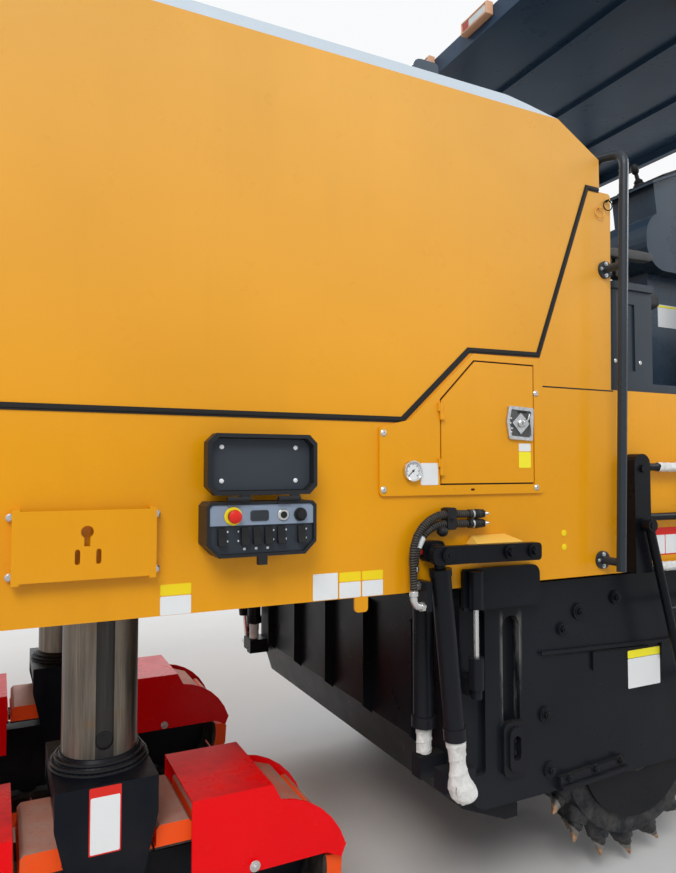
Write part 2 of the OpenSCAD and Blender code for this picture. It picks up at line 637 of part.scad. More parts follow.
// Engine hood: a shell and its side walls, tilting up about a rear hinge, with its roof
hood_foot = waist_z + hood_gap;
hood_rear = -rear_x;
hood_front = -235;
brow_x = hood_front - 223;
brow_z = hood_z - 126;
hood_side = [[hood_rear, hood_foot], [part_a[0] - 4, hood_foot], [part_b[0] - 5, part_b[1] + hood_gap],
  [part_c[0] - 8, part_c[1] + hood_gap], [part_d[0] - 8, part_d[1] + hood_gap], [hood_front, part_d[1] + hood_gap],
  [hood_front, brow_z], [brow_x, hood_z], [hood_rear + 90, hood_z], [hood_rear, hood_z - 200]];
hood_in = [[hood_rear + hood_wall, hood_foot - 1], [part_a[0] + 200, hood_foot - 1], [part_b[0] + 100, part_b[1]],
  [part_c[0] + 100, part_c[1]], [hood_front - 40, part_d[1] - 2], [hood_front - 40, brow_z - 27], [brow_x - 12, hood_z - 40],
  [hood_rear + 110, hood_z - 40], [hood_rear + hood_wall, hood_z - 220]];
grille_w = 1560;
grille_z = hood_foot + 110;
grille_h = hood_z - 250 - grille_z;
// Plan of the hood, with its rounded rear corners
module hood_plan() {
  linear_extrude(hood_z + 10) polygon(rounded([[hood_rear, -side_y, 80], [0, -side_y, 0], [0, side_y, 0],
    [hood_rear, side_y, 80]]));
}
module hood_sides() {
  color(yellow) in_row() intersection() {
    both_sides() side_profile(hood_side, side_y - side_t, side_t);
    hood_plan();
  }
}
// Rear wall, top and brow between the side walls
module hood() {
  color(yellow) in_row() difference() {
    intersection() {
      side_profile(hood_side, side_t - side_y, 2 * (side_y - side_t));
      hood_plan();
    }
    side_profile(hood_in, side_t - side_y - 1, 2 * (side_y - side_t) + 2);
    block([hood_rear - 10, -grille_w / 2, grille_z], [60, grille_w, grille_h]);
    // notches and bores on the body's hinge lugs
    both_sides() {
      block([hood_rear - 10, lug_y - 6, hood_foot - 10], [hood_wall + 20, lug_w + 12, 80]);
      cross_bar(hood_pin[0], hood_pin[1], lug_y - 36, lug_w + 72, 9 + slide_gap);
    }
  }
}
// Slope of the hood's front edge, for what lies on it
brow = (brow_z - hood_z) / (hood_front - brow_x);
roof_x = hood_rear + 100;
module hood_roof() {
  color(slate) in_row() difference() {
    union() {
      // cap with steep edges, tapering down to the brow
      intersection() {
        cross_profile([[-side_y, hood_z], [side_y, hood_z], [side_y - 9, hood_z + 44], [side_y - 18, hood_z + 50],
          [18 - side_y, hood_z + 50], [9 - side_y, hood_z + 44]], roof_x, brow_x - roof_x);
        side_profile([[roof_x, hood_z], [brow_x, hood_z], [brow_x - 50, hood_z + 8], [brow_x - 150, hood_z + 28],
          [brow_x - 240, hood_z + 42], [brow_x - 340, hood_z + 50], [roof_x, hood_z + 50]], -side_y, 2 * side_y);
      }
      // intake pod on the right
      side_profile(rounded([[-1060, hood_z + 49, 0], [-916, hood_z + 49, 0], [-916, hood_z + 205, 18],
        [-1030, hood_z + 205, 40]]), -900, 190);
      // air intake over the radiator, and the ridge along the roof
      block([roof_x + 160, -620, hood_z + 49], [900, 1240, 46]);
      cross_profile([[-660, hood_z + 49], [660, hood_z + 49], [600, hood_z + 82], [-600, hood_z + 82]],
        roof_x + 1180, brow_x - roof_x - 1560);
    }
    for (k = [0:15]) block([roof_x + 190 + 53 * k, -590, hood_z + 70], [28, 1180, 40]);
    translate([-900, 400, hood_z + 40]) cylinder(h = 60, r = 90);
  }
}
module rear_grille() {
  color(black) in_row() {
    difference() {
      block([hood_rear, -grille_w / 2, grille_z], [hood_wall, grille_w, grille_h]);
      block([hood_rear - 1, -grille_w / 2 + 40, grille_z + 40], [hood_wall + 2, grille_w - 80, grille_h - 80]);
    }
    // slanted louvres between three posts
    for (k = [0:12]) translate([hood_rear + 20, 0, grille_z + 40 + (grille_h - 80) * (k + 0.5) / 13])
      rotate([0, 35, 0]) block([-20, -grille_w / 2 + 39, -4], [40, grille_w - 78, 8]);
    for (y = [-grille_w / 4, 0, grille_w / 4]) block([hood_rear + 4, y - 12, grille_z + 39], [32, 24, grille_h - 78]);
  }
}
module exhaust() {
  color("dimgray") in_row() translate([-900, 400, hood_z + 40]) difference() {
    union() {
      cylinder(h = 14, r = 88);
      cylinder(h = 230, r = 62);
      // outlet turned to the rear, on a true bend
      translate([-110, 0, 230]) rotate([90, 0, 0]) rotate_extrude(angle = 60) translate([110, 0]) circle(r = 62);
    }
    translate([0, 0, 20]) cylinder(h = 210, r = 54);
    translate([-110, 0, 230]) rotate([90, 0, 0]) rotate_extrude(angle = 61) translate([110, 0]) circle(r = 54);
  }
}

// Milling drum: tube, end rings and hubs, with tools on two opposed spirals and round both ends
// A tool is a holder welded on the tube and a conical pick; lean tips it towards the drum's end
tool_rake = 22;
module tool(lean) {
  seat = drum_r - 24;
  reach = sqrt(pow(tip_r, 2) - pow(seat * sin(tool_rake), 2)) - seat * cos(tool_rake);
  translate([seat, 0, 0]) rotate([0, -tool_rake, lean]) {
    rotate([0, 90, 0]) cylinder(h = reach * 0.5, r1 = 58, r2 = 42, $fn = 16);
    rotate([0, 90, 0]) translate([0, 0, reach * 0.5 - 1]) cylinder(h = reach * 0.18, r1 = 32, r2 = 27, $fn = 16);
    rotate([0, 90, 0]) translate([0, 0, reach * 0.68 - 2]) cylinder(h = reach * 0.32 + 2, r1 = 23, r2 = 5, $fn = 16);
  }
}
module milling_drum() {
  spiral = drum_l / 2 - 110;
  color(black) in_row() translate([0, 0, drum_z]) {
    cross_bar(0, 0, -drum_l / 2, drum_l, drum_r);
    both_sides() cross_bar(0, 0, drum_l / 2 - 1, 20, journal_r);
    for (k = [0:pick_n - 1]) both_sides() translate([0, (k + 0.5) * spiral / pick_n, 0]) rotate([0, k * 54, 0]) tool(0);
    for (k = [0:edge_n - 1]) both_sides() translate([0, drum_l / 2 - 60, 0]) rotate([0, (k + 0.85) * 360 / edge_n, 0]) tool(16);
  }
}

// Side plate with its guide slot, pocket, upper lug, wear skid, height sensor and the lug of the lift rod
plate_y = side_y - 56;
plate_out = plate_y + plate_t;
pocket_d = 22;
module side_plate() {
  color(black) in_row() {
    difference() {
      side_profile(rounded([[-950, 1250, 0], [-950, plate_z + 130, 0], [-860, plate_z, 40], [700, plate_z, 60],
        [housing_x, plate_z + 110, 60], [housing_x, 1250, 0]]), plate_y, plate_t);
      side_profile(rounded([[slot_x, slot_z0, 12], [slot_x + slot_w, slot_z0, 12], [slot_x + slot_w, slot_z1, 39],
        [slot_x, slot_z1, 39]], 6), plate_y - 10, plate_t + 20);
      side_profile(rounded([[-940, 568, 16], [-835, 568, 16], [-835, 1168, 16], [-940, 1168, 16]]),
        plate_out - pocket_d, pocket_d + 1);
    }
    // upper lug, cranked out past the body's side
    block([-860, plate_out - 2, 1180], [256, side_y + 8 - plate_out, 70]);
    side_profile(rounded([[-961, 1180, 12], [-604, 1180, 12], [-604, 1330, 34], [-961, 1330, 12]]), side_y + 6, 16);
    // ledge over the lower plate, with gussets
    side_profile([[-572, 972], [45, 949], [housing_x, 949], [housing_x, 961], [45, 961], [-572, 984]], plate_out - 1, 15);
    for (x = [-300, 100, 500]) side_profile([[x, 950], [x + 12, 950], [x + 12, 880], [x, 880]], plate_out - 1, 12);
    // wear skid with its runner and three bolts
    side_profile([[-492, plate_z + 4], [-128, plate_z + 24], [-128, plate_z + 70], [-150, plate_z + 75],
      [-492, plate_z + 55]], plate_out - 1, 23);
    side_profile(rounded([[-492, plate_z + 4, 6], [-128, plate_z + 24, 6], [-128, plate_z + 40, 5],
      [-492, plate_z + 20, 5]]), plate_out + 21, 14);
    for (x = [-450, -310, -170]) cross_bar(x, plate_z + 74 + x * 0.06, plate_out + 21, 12, 12, $fn = 6);
    // bosses with their bolts, as [x, z, boss radius]
    for (b = [[-549, 741, 30], [-529, 527, 30], [-457, 1060, 26], [-368, 1121, 32], [-163, 1160, 28],
      [420, 1060, 28], [420, 620, 28]]) {
      cross_bar(b[0], b[1], plate_out - 1, 11, b[2]);
      cross_bar(b[0], b[1], plate_out + 9, 12, 14, $fn = 6);
    }
    // height sensor on its foot: cap, wire tube and collar
    block([-945, plate_out - pocket_d - 1, 880], [54, side_y + 21 + pocket_d - plate_out, 60]);
    for (c = [[1190, 134, 28], [1000, 192, 9], [905, 112, 28], [872, 34, 20]])
      translate([-918, side_y + 36, c[0]]) cylinder(h = c[1], r = c[2]);
    // lug and pin of the lift rod's eye
    block([rod_eye[0] - 38, plate_out - pocket_d - 1, rod_eye[1] - 36], [130, cyl_y - 29 + pocket_d - plate_out, 72]);
    cross_bar(rod_eye[0], rod_eye[1], cyl_y - 33, 66, 14);
  }
}

// Scraper behind the drum on its cylinders' rods
module scraper() {
  color(black) in_row() {
    side_profile([[-960, 1180], [-960, 620], [-900, 430], [-700, 350], [-640, 350], [-640, 400],
      [-800, 470], [-880, 640], [-880, 1180]], 8 - cheek_in, 2 * cheek_in - 16);
    for (y = [-2:2]) side_profile([[-950, 1120], [-1000, 1090], [-1000, 640], [-950, 600]], y * 400 - 8, 16);
    both_sides() {
      block([scraper_cyl[0] - 35, scraper_cyl[1] - 30, 560], [120, 60, 80]);
      translate([scraper_cyl[0], scraper_cyl[1], 630]) cylinder(h = 540, r = 22);
    }
  }
}

// Canopy: roof sheet in a rounded frame with cross ribs, on four sliding posts
canopy_l = deck_l + 40;
canopy_w = 2 * side_y - 40;
canopy_x = plate_foot - 24;
module canopy() {
  color(slate) in_row() {
    translate([canopy_x, 0, canopy_z + 60]) linear_extrude(42) polygon(slab(canopy_l, canopy_w, 140));
    translate([canopy_x + 40, 0, canopy_z + 101]) linear_extrude(19) polygon(slab(canopy_l - 80, canopy_w - 80, 120));
    difference() {
      translate([canopy_x, 0, canopy_z]) linear_extrude(61) polygon(slab(canopy_l, canopy_w, 140));
      translate([canopy_x + 50, 0, canopy_z - 1]) linear_extrude(61) polygon(slab(canopy_l - 100, canopy_w - 100, 100));
    }
    // ribs across and along
    for (k = [1:3]) block([canopy_x + k * canopy_l / 4 - 20, -canopy_w / 2 + 49, canopy_z + 36], [40, canopy_w - 98, 25]);
    both_sides() block([canopy_x + 49, post_y - 25, canopy_z + 26], [canopy_l - 98, 50, 35]);
    for (x = post_x) both_sides() translate([x, post_y, 0]) {
      translate([0, 0, canopy_z - 1040]) cylinder(h = 1101, r = post_r);
      translate([0, 0, canopy_z - 8]) cylinder(h = 16, r = 75);
      for (s = [-1, 1]) side_profile([[s * 30, canopy_z + 10], [s * 130, canopy_z + 10], [s * 30, canopy_z - 38]], -6, 12);
    }
  }
}

// Discharge conveyor on its slewing bracket
bracket_z = seat_z + slide_gap;
boom_pin_r = 30;
cheek_t = 30;
boom_gap = 12;
ear_y = 52;
ear_t = 22;
// Lift cylinder under the boom: its barrel's pin on the bracket, its rod's eye on the boom
ram_pin = [slew_x + 260, bracket_z + 20];
ram_eye_u = 1050;
ram_eye_v = -105;
ram_eye = [pivot_x + ram_eye_u * cos(boom_tilt) - ram_eye_v * sin(boom_tilt),
  pivot_z + ram_eye_u * sin(boom_tilt) + ram_eye_v * cos(boom_tilt)];
ram_a = atan2(ram_eye[0] - ram_pin[0], ram_eye[1] - ram_pin[1]);
ram_l = norm(ram_eye - ram_pin);
ram_r = 20;
ram_eye_w = 88;
module slew_bracket() {
  color(yellow) in_row() {
    difference() {
      union() {
        translate([slew_x, 0, bracket_z]) cylinder(h = 50, r = 190);
        both_sides() side_profile(rounded([[slew_x - 60, bracket_z, 0], [slew_x + 140, bracket_z, 0],
          [slew_x + 150, pivot_z - 60, 0], [slew_x + 130, pivot_z + 70, 60], [slew_x - 10, pivot_z + 70, 60],
          [slew_x - 60, pivot_z - 60, 0]]), boom_w / 2 + boom_gap, cheek_t);
        block([slew_x - 60, -boom_w / 2 - boom_gap - cheek_t, bracket_z], [200, boom_w + 2 * boom_gap + 2 * cheek_t, 50]);
        both_sides() cross_bar(pivot_x, pivot_z, boom_w / 2 - 18, boom_gap + cheek_t + 18, boom_pin_r);
        both_sides() cross_bar(pivot_x, pivot_z, boom_w / 2 + boom_gap + cheek_t - 1, 12, boom_pin_r + 24);
        // ears of the lift cylinder
        both_sides() side_profile([[slew_x + 100, bracket_z + 1], [slew_x + 196, bracket_z + 1],
          [slew_x + 208, bracket_z - 14], [ram_pin[0] + 36, bracket_z - 16],
          [ram_pin[0] + 36, bracket_z + 56], [slew_x + 120, bracket_z + 50]], ear_y, ear_t);
      }
      translate([slew_x, 0, bracket_z - 1]) cylinder(h = 60, r = 60 + slide_gap);
    }
    cross_bar(ram_pin[0], ram_pin[1], -ear_y - ear_t - 4, 2 * (ear_y + ear_t + 4), ram_r);
  }
}
module on_boom() { translate([pivot_x, 0, pivot_z]) rotate([0, -boom_tilt, 0]) children(); }
module trough(a, b, w) {
  difference() {
    block([a, -w / 2, -60], [b - a, w, 280]);
    block([a - 1, -w / 2 + 40, 40], [b - a + 2, w - 80, 181]);
  }
}
// Side ribs, roller brackets and belt cleats along a trough from a to b
module trough_fittings(a, b, w) {
  for (x = [a + 260:480:b - 200]) both_sides()
    block([x, w / 2 - 1, -60], [20, 25, 280]);
  both_sides() block([a, w / 2 - 1, 196], [b - a, 25, 24]);
  for (x = [a + 140:240:b - 240]) block([x, -w / 2 + 39, 39], [14, w - 78, 24]);
}
fold_gap = 8;
fold_y = 300;
fold_v = 92;
module boom_rear() {
  color(yellow) in_row() {
    difference() {
      on_boom() union() {
        trough(-50, boom_l - fold_gap, boom_w);
        trough_fittings(200, boom_l - fold_gap - 200, boom_w);
        // ears of the lift cylinder's rod
        both_sides() side_profile([[ram_eye_u - 90, -59], [ram_eye_u - 36, ram_eye_v - 40],
          [ram_eye_u + 36, ram_eye_v - 40], [ram_eye_u + 90, -59]], ear_y, ear_t);
        // hinge ears of the folding section, under the trough
        both_sides() side_profile([[boom_l - 200, -59], [boom_l - 10, -112], [boom_l, -fold_v - 24],
          [boom_l, -fold_v + 12], [boom_l - fold_gap - 12, -59]], fold_y, 30);
        both_sides() cross_bar(boom_l, -fold_v, fold_y, 30, 24);
      }
      both_sides() cross_bar(pivot_x, pivot_z, boom_w / 2 - 18 - slide_gap, 60, boom_pin_r + slide_gap);
    }
    on_boom() cross_bar(ram_eye_u, ram_eye_v, -ear_y - ear_t - 4, 2 * (ear_y + ear_t + 4), ram_r);
    on_boom() both_sides() cross_bar(boom_l, -fold_v, fold_y - 40, 69, 12);
  }
}
module boom_front() {
  w = boom_w - 100;
  color(yellow) in_row() on_boom() difference() {
    union() {
      trough(boom_l + fold_gap, boom_l + jib_l, w);
      trough_fittings(boom_l + fold_gap + 200, boom_l + jib_l, w);
      translate([boom_l + jib_l, w / 2, roll_z]) rotate([90, 0, 0]) cylinder(h = w, r = roll_r);
      both_sides() side_profile([[boom_l, -fold_v - 24], [boom_l + 10, -112], [boom_l + 200, -59],
        [boom_l + fold_gap + 12, -59], [boom_l, -fold_v + 12]], fold_y - 36, 30);
      both_sides() cross_bar(boom_l, -fold_v, fold_y - 36, 30, 24);
    }
    both_sides() cross_bar(boom_l, -fold_v, fold_y - 45, 80, 12 + slide_gap);
  }
}
module on_ram() { translate([ram_pin[0], 0, ram_pin[1]]) rotate([0, ram_a, 0]) children(); }
module boom_barrel() {
  color(black) in_row() difference() {
    union() {
      on_ram() {
        translate([0, 0, 30]) cylinder(h = ram_l * 0.62, r = 42);
        translate([0, 0, ram_l * 0.62 - 20]) cylinder(h = 50, r = 46);
      }
      cross_bar(ram_pin[0], ram_pin[1], -ram_eye_w / 2, ram_eye_w, 38);
    }
    cross_bar(ram_pin[0], ram_pin[1], -60, 120, ram_r + slide_gap);
    on_ram() translate([0, 0, 70]) cylinder(h = ram_l, r = 24 + slide_gap);
  }
}
module boom_rod() {
  color("silver") in_row() difference() {
    union() {
      on_ram() translate([0, 0, ram_l * 0.35]) cylinder(h = ram_l * 0.65 - 10, r = 24);
      cross_bar(ram_eye[0], ram_eye[1], -ram_eye_w / 2, ram_eye_w, 38);
    }
    cross_bar(ram_eye[0], ram_eye[1], -60, 120, ram_r + ram_slack);
  }
}

// Folding ladders, each on the rear one of two plates with fixed rungs
ladder_pin = [-80, 1462];
ladder_w = 430;
stile_d = 36;
ladder_y = side_y + 88;
plate_d = 60;
module ladder_frames() {
  color(black) in_row() both_sides() {
    for (x = [0, ladder_w]) side_profile(rounded([[ladder_pin[0] + x - 46, belly_z + 3, 0],
      [ladder_pin[0] + x + 46, belly_z + 3, 0], [ladder_pin[0] + x + 46, 1755, 44], [ladder_pin[0] + x - 46, 1755, 44]]),
      side_y, plate_d);
    cross_bar(ladder_pin[0], ladder_pin[1], side_y + plate_d - 1, 52, 14);
    cross_bar(ladder_pin[0], ladder_pin[1], side_y + plate_d - 1, 5, 24);
    cross_bar(ladder_pin[0], 1693, side_y + plate_d - 1, 12, 16);
    for (z = [1280, 1490, 1700]) translate([ladder_pin[0], side_y + 34, z]) rotate([0, 90, 0]) cylinder(h = ladder_w, r = 16);
  }
}
module ladder() {
  color(black) in_row() difference() {
    union() {
      bar_xz(ladder_pin, ladder_pin + [210, -740], ladder_y, stile_d / 2);
      bar_xz(ladder_pin + [ladder_w + 10, -40], ladder_pin + [ladder_w + 210, -740], ladder_y, stile_d / 2);
      cross_bar(ladder_pin[0], ladder_pin[1], ladder_y - 20, 40, 26);
      for (k = [1:2]) translate([ladder_pin[0] + 99 * k, ladder_y, ladder_pin[1] - 350 * k])
        rotate([0, 90, 0]) cylinder(h = ladder_w, r = 14);
    }
    cross_bar(ladder_pin[0], ladder_pin[1], ladder_y - 30, 60, 14 + slide_gap);
  }
}

// Legs: steering ring, column with yoke, track frame, track and guards
module steer_ring(x, y) {
  color(black) in_row() translate([x, y, belly_z]) difference() {
    cylinder(h = ring_h, r = ring_out);
    translate([0, 0, -1]) cylinder(h = ring_h + 2, r = ring_in);
  }
}
axle_r = 42;
axle_z = track_h / 2 + 10;
yoke_side = rounded([[-yoke_l / 2, yoke_z, 0], [yoke_l / 2, yoke_z, 0], [yoke_l / 2, 620, 40], [118, 480, 60],
  [70, axle_z - 70, 50], [-70, axle_z - 70, 50], [-118, 480, 60], [-yoke_l / 2, 620, 40]]);
module leg(x, y) {
  out = y < 0 ? -1 : 1;
  color(steel) in_row() translate([x, y, 0]) {
    difference() {
      translate([0, 0, yoke_z - 10]) cylinder(h = column_top - yoke_z + 10, r = column_r);
      // key groove on the outer face, round at its foot
      translate([-key_w / 2, out * column_r - key_d, key_z]) cube([key_w, 2 * key_d, 2000]);
      translate([0, out * column_r - key_d, key_z]) rotate([-90, 0, 0]) cylinder(h = 2 * key_d, r = key_w / 2);
    }
    // weld collar, top plate and cheeks of the yoke
    translate([0, 0, yoke_z - 1]) cylinder(h = 14, r = column_r + 30);
    translate([0, 0, yoke_z + 12]) cylinder(h = 28, r1 = column_r + 26, r2 = column_r + 4);
    block([-yoke_l / 2, -guard_w / 2, yoke_z - 60], [yoke_l, guard_w, 60]);
    for (s = [-1, 1]) side_profile(yoke_side, s > 0 ? guard_w / 2 - 14 : -guard_w / 2 - 12, 26);
    cross_bar(0, axle_z, -guard_w / 2 - 20, guard_w + 40, axle_r);
    for (s = [-1, 1]) cross_bar(0, axle_z, s > 0 ? guard_w / 2 + 10 : -guard_w / 2 - 24, 14, axle_r + 26);
  }
  color(black) in_row() translate([x, y, 0]) track_frame();
}

// The chain's line runs round two wheels; these are distances outwards from it
chain_v = [-17, 8];
shoe_v = [5, 17, 17 + shoe_t];
chain_r = track_h / 2 - shoe_v[2];
chain_w = 120;
wheel_x = (track_l - track_h) / 2;
wheel_z = track_h / 2;
wheel_r = chain_r + chain_v[0] - slide_gap;
roller_r = 55;
roller_z = wheel_z - wheel_r + roller_r;
tie = [472, 374];
// Frame inside a track: beam on the yoke's axle, sprocket, idler, rollers and stubs for the guards
module track_frame() {
  difference() {
    union() {
      block([-300, -62, roller_z + roller_r + 12], [600, 124, 200]);
      for (y = [-62, 44]) side_profile(rounded([[-wheel_x - 50, wheel_z - 50, 40], [-wheel_x + 120, roller_z - 30, 30],
        [wheel_x - 120, roller_z - 30, 30], [wheel_x + 50, wheel_z - 50, 40], [wheel_x + 50, wheel_z + 50, 40],
        [300, tie[1] + 44, 30], [-300, tie[1] + 44, 30], [-wheel_x - 50, wheel_z + 50, 40]]), y, 18);
      for (x = [-wheel_x, wheel_x]) cross_bar(x, wheel_z, -45, 90, wheel_r);
      for (x = [-320:160:320]) cross_bar(x, roller_z, -50, 100, roller_r);
      for (x = [-tie[0], tie[0]]) for (y = [8 - guard_w / 2, 44])
        cross_bar(x, tie[1], y, guard_w / 2 - 52, 20);
    }
    cross_bar(0, axle_z, -100, 200, axle_r + slide_gap);
  }
}

// Track: a closed chain with its shoes, each on the chord of its link
straight = 2 * wheel_x;
bend = PI * chain_r;
pitch = 2 * (straight + bend) / shoe_n;
// Point at distance s along the chain's line from the lower run's rear end
function on_chain(s) = let (t = s % (straight + bend), far = floor(s / (straight + bend)) % 2 == 0 ? 1 : -1,
  a = max(0, t - straight) / chain_r * 180 / PI)
  [far * (min(t, straight) - wheel_x + chain_r * sin(a)), wheel_z - far * chain_r * cos(a)];
function shoe(s) = let (h = pitch / 2, a = on_chain(s - h), b = on_chain(s + h), c = (a + b) / 2,
  u = unit(b - a), n = [u[1], -u[0]])
  [for (p = [[-h + 4, 0], [-h + 4, 1], [-h + 8.5, 1], [-h + 8.5, 1.8], [-h + 20, 2], [h - 20, 2], [h - 8.5, 1.8],
    [h - 8.5, 1], [h - 4, 1], [h - 4, 0]])
    c + p[0] * u + n * (p[1] <= 1 ? shoe_v[p[1]] : shoe_v[1] + (p[1] - 1) * shoe_t)];
module stadium(r, w) {
  translate([0, w / 2, wheel_z]) rotate([90, 0, 0]) linear_extrude(w) union() {
    for (s = [-1, 1]) translate([s * wheel_x, 0]) circle(r = r);
    square([straight, 2 * r], center = true);
  }
}
module track(x, y) {
  color(pad_tan) in_row() translate([x, y, 0]) {
    difference() {
      stadium(chain_r + chain_v[1], chain_w);
      stadium(chain_r + chain_v[0], chain_w + 2);
    }
    for (k = [0:shoe_n - 1]) side_profile(shoe((k + 0.5) * pitch), -shoe_w / 2, shoe_w);
  }
}

// Guards over a track's front and rear end: cheeks, a flat top sheet and bolts to the stubs
guard_t = 8;
guard_r = track_h / 2 + 8;
guard_x = 262;
module guard(x, y) {
  cheek = concat([[guard_x, 350], [guard_x, guard_z], [wheel_x, guard_z]],
    [for (a = [84:-11:18]) [wheel_x + guard_r * cos(a), wheel_z + guard_r * sin(a)]],
    [[817, 365], [798, 322], [740, 350]]);
  color(red) in_row() translate([x, y, 0]) for (s = [-1, 1]) scale([s, 1, 1]) {
    for (c = [-guard_w / 2, guard_w / 2 - guard_t]) side_profile(cheek, c, guard_t);
    block([guard_x, -guard_w / 2 + 1, guard_z - guard_t], [wheel_x - guard_x, guard_w - 2, guard_t]);
    for (c = [-guard_w / 2 - 10, guard_w / 2 - 1]) cross_bar(tie[0], tie[1], c, 11, 16);
  }
}

main_frame();
cross_members();
column_plates();
engine_block();
drum_housing();
leg_tubes();
operator_deck();
consoles();
seats();
handrails();
side_covers();
control_box();
lift_arms();
hoses();
gathering_conveyor();
ladder_frames();
front_frame();
lamps();
hood();
hood_sides();
hood_roof();
rear_grille();
exhaust();
service_door();
control_lid();
milling_drum();
mirror([0, 1, 0]) side_plate();  // side_plate_right
side_plate();  // side_plate_left
mirror([0, 1, 0]) lift_barrel();  // lift_barrel_right
lift_barrel();  // lift_barrel_left
mirror([0, 1, 0]) lift_rod();  // lift_rod_right
lift_rod();  // lift_rod_left
rod_wrap();
scraper();
canopy();
slew_bracket();
boom_rear();
boom_front();
boom_barrel();
boom_rod();
mirror([0, 1, 0]) ladder();  // ladder_right
ladder();  // ladder_left
steer_ring(-rear_leg_x, -leg_y);  // steer_ring_rr
steer_ring(-rear_leg_x, leg_y);  // steer_ring_rl
steer_ring(front_leg_x, -leg_y);  // steer_ring_fr
steer_ring(front_leg_x, leg_y);  // steer_ring_fl
leg(-rear_leg_x, -leg_y);  // leg_rr
leg(-rear_leg_x, leg_y);  // leg_rl
leg(front_leg_x, -leg_y);  // leg_fr
leg(front_leg_x, leg_y);  // leg_fl
track(-rear_leg_x, -leg_y);  // track_rr
track(-rear_leg_x, leg_y);  // track_rl
track(front_leg_x, -leg_y);  // track_fr
track(front_leg_x, leg_y);  // track_fl
guard(-rear_leg_x, -leg_y);  // guard_rr
guard(-rear_leg_x, leg_y);  // guard_rl
guard(front_leg_x, -leg_y);  // guard_fr
guard(front_leg_x, leg_y);  // guard_fl
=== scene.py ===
import bpy, bmesh, json, math
from mathutils import Matrix, Vector


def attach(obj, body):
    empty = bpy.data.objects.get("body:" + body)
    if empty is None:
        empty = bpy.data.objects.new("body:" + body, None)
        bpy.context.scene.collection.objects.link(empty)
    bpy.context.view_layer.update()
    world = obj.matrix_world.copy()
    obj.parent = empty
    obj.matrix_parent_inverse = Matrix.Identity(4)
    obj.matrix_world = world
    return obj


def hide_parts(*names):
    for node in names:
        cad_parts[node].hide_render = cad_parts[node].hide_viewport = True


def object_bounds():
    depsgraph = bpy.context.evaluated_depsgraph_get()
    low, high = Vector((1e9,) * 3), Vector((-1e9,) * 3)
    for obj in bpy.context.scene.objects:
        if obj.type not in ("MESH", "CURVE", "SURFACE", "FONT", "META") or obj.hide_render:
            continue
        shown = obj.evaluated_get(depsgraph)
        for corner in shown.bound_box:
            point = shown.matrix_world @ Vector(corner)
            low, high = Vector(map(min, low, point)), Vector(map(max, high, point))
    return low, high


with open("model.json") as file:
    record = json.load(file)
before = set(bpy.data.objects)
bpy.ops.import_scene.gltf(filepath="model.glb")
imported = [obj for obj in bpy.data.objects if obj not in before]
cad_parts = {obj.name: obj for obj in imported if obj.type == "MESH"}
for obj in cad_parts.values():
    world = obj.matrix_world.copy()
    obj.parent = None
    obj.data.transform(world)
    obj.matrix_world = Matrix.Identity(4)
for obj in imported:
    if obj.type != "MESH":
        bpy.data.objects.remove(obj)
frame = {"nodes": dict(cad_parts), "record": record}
cad_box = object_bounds()
scene = bpy.context.scene

# Driving sizes in millimetres from the milling drum's axis, with the same values as in the part's source
REAR = 3650                               # hood's rear wall, behind the axis
SIDE = 1080                               # body's side
BELLY, WAIST, BAND, HOOD = 1262, 1860, 2021, 3113    # body's underside, hood's seam, deck and hood's top
HOOD_GAP = 12
COVER = SIDE + 10                         # face of the service cover
PLATE = SIDE - 22                         # outer face of a side plate
LEG_X = {"r": -2152, "f": 2500}
LEG_Y = SIDE - 380
YOKE_Z, GUARD_W = 735, 410
COLUMN_R = 120
WHEEL_X, WHEEL_Z, CHAIN_R = 540, 280, 201    # a track's wheels from its leg, and the chain's line round them
DRUM_Z = 545
BOX_X, BOX_Z, BOX_W, BOX_H, BOX_D = -1925, 1432, 350, 164, 95    # side control box
PIVOT, TILT = (4020, 1420), 14            # foot and slope of the discharge conveyor
CYLINDER_Y = SIDE + 57
ARM_PIN, ROD_EYE = (-1092, 1400), (-1010, 590)    # upper and lower end of the lift cylinder
SHIFT = cad_box[0][0] + REAR / 1000       # place of the drum's axis along X in the row's frame
SIDES = (("right", -1), ("left", 1))
RIGHT = Vector((0, -1, 0))


def V(x, y, z):
    """Metres in the row's frame, from millimetres round the drum's axis"""
    return Vector((x / 1000 + SHIFT, y / 1000, z / 1000))


# ---- camera, lights and floor
def place_camera():
    """The photograph's viewpoint"""
    data = bpy.data.cameras.new("camera")
    data.sensor_fit = "VERTICAL"
    data.sensor_height = 36
    data.lens = 28.45
    data.clip_end = 200
    cam = bpy.data.objects.new("camera", data)
    cam.location = V(-2470, -3150, 1700)
    cam.rotation_euler = (math.radians(92.531), 0, math.radians(-26.146))
    scene.collection.objects.link(cam)
    scene.camera = cam


def area_light(name, loc, target, size, power):
    data = bpy.data.lights.new(name, "AREA")
    data.shape = "DISK"
    data.size = size
    data.energy = power
    o = bpy.data.objects.new(name, data)
    o.location = loc
    o.rotation_euler = (Vector(target) - Vector(loc)).to_track_quat("-Z", "Y").to_euler()
    scene.collection.objects.link(o)


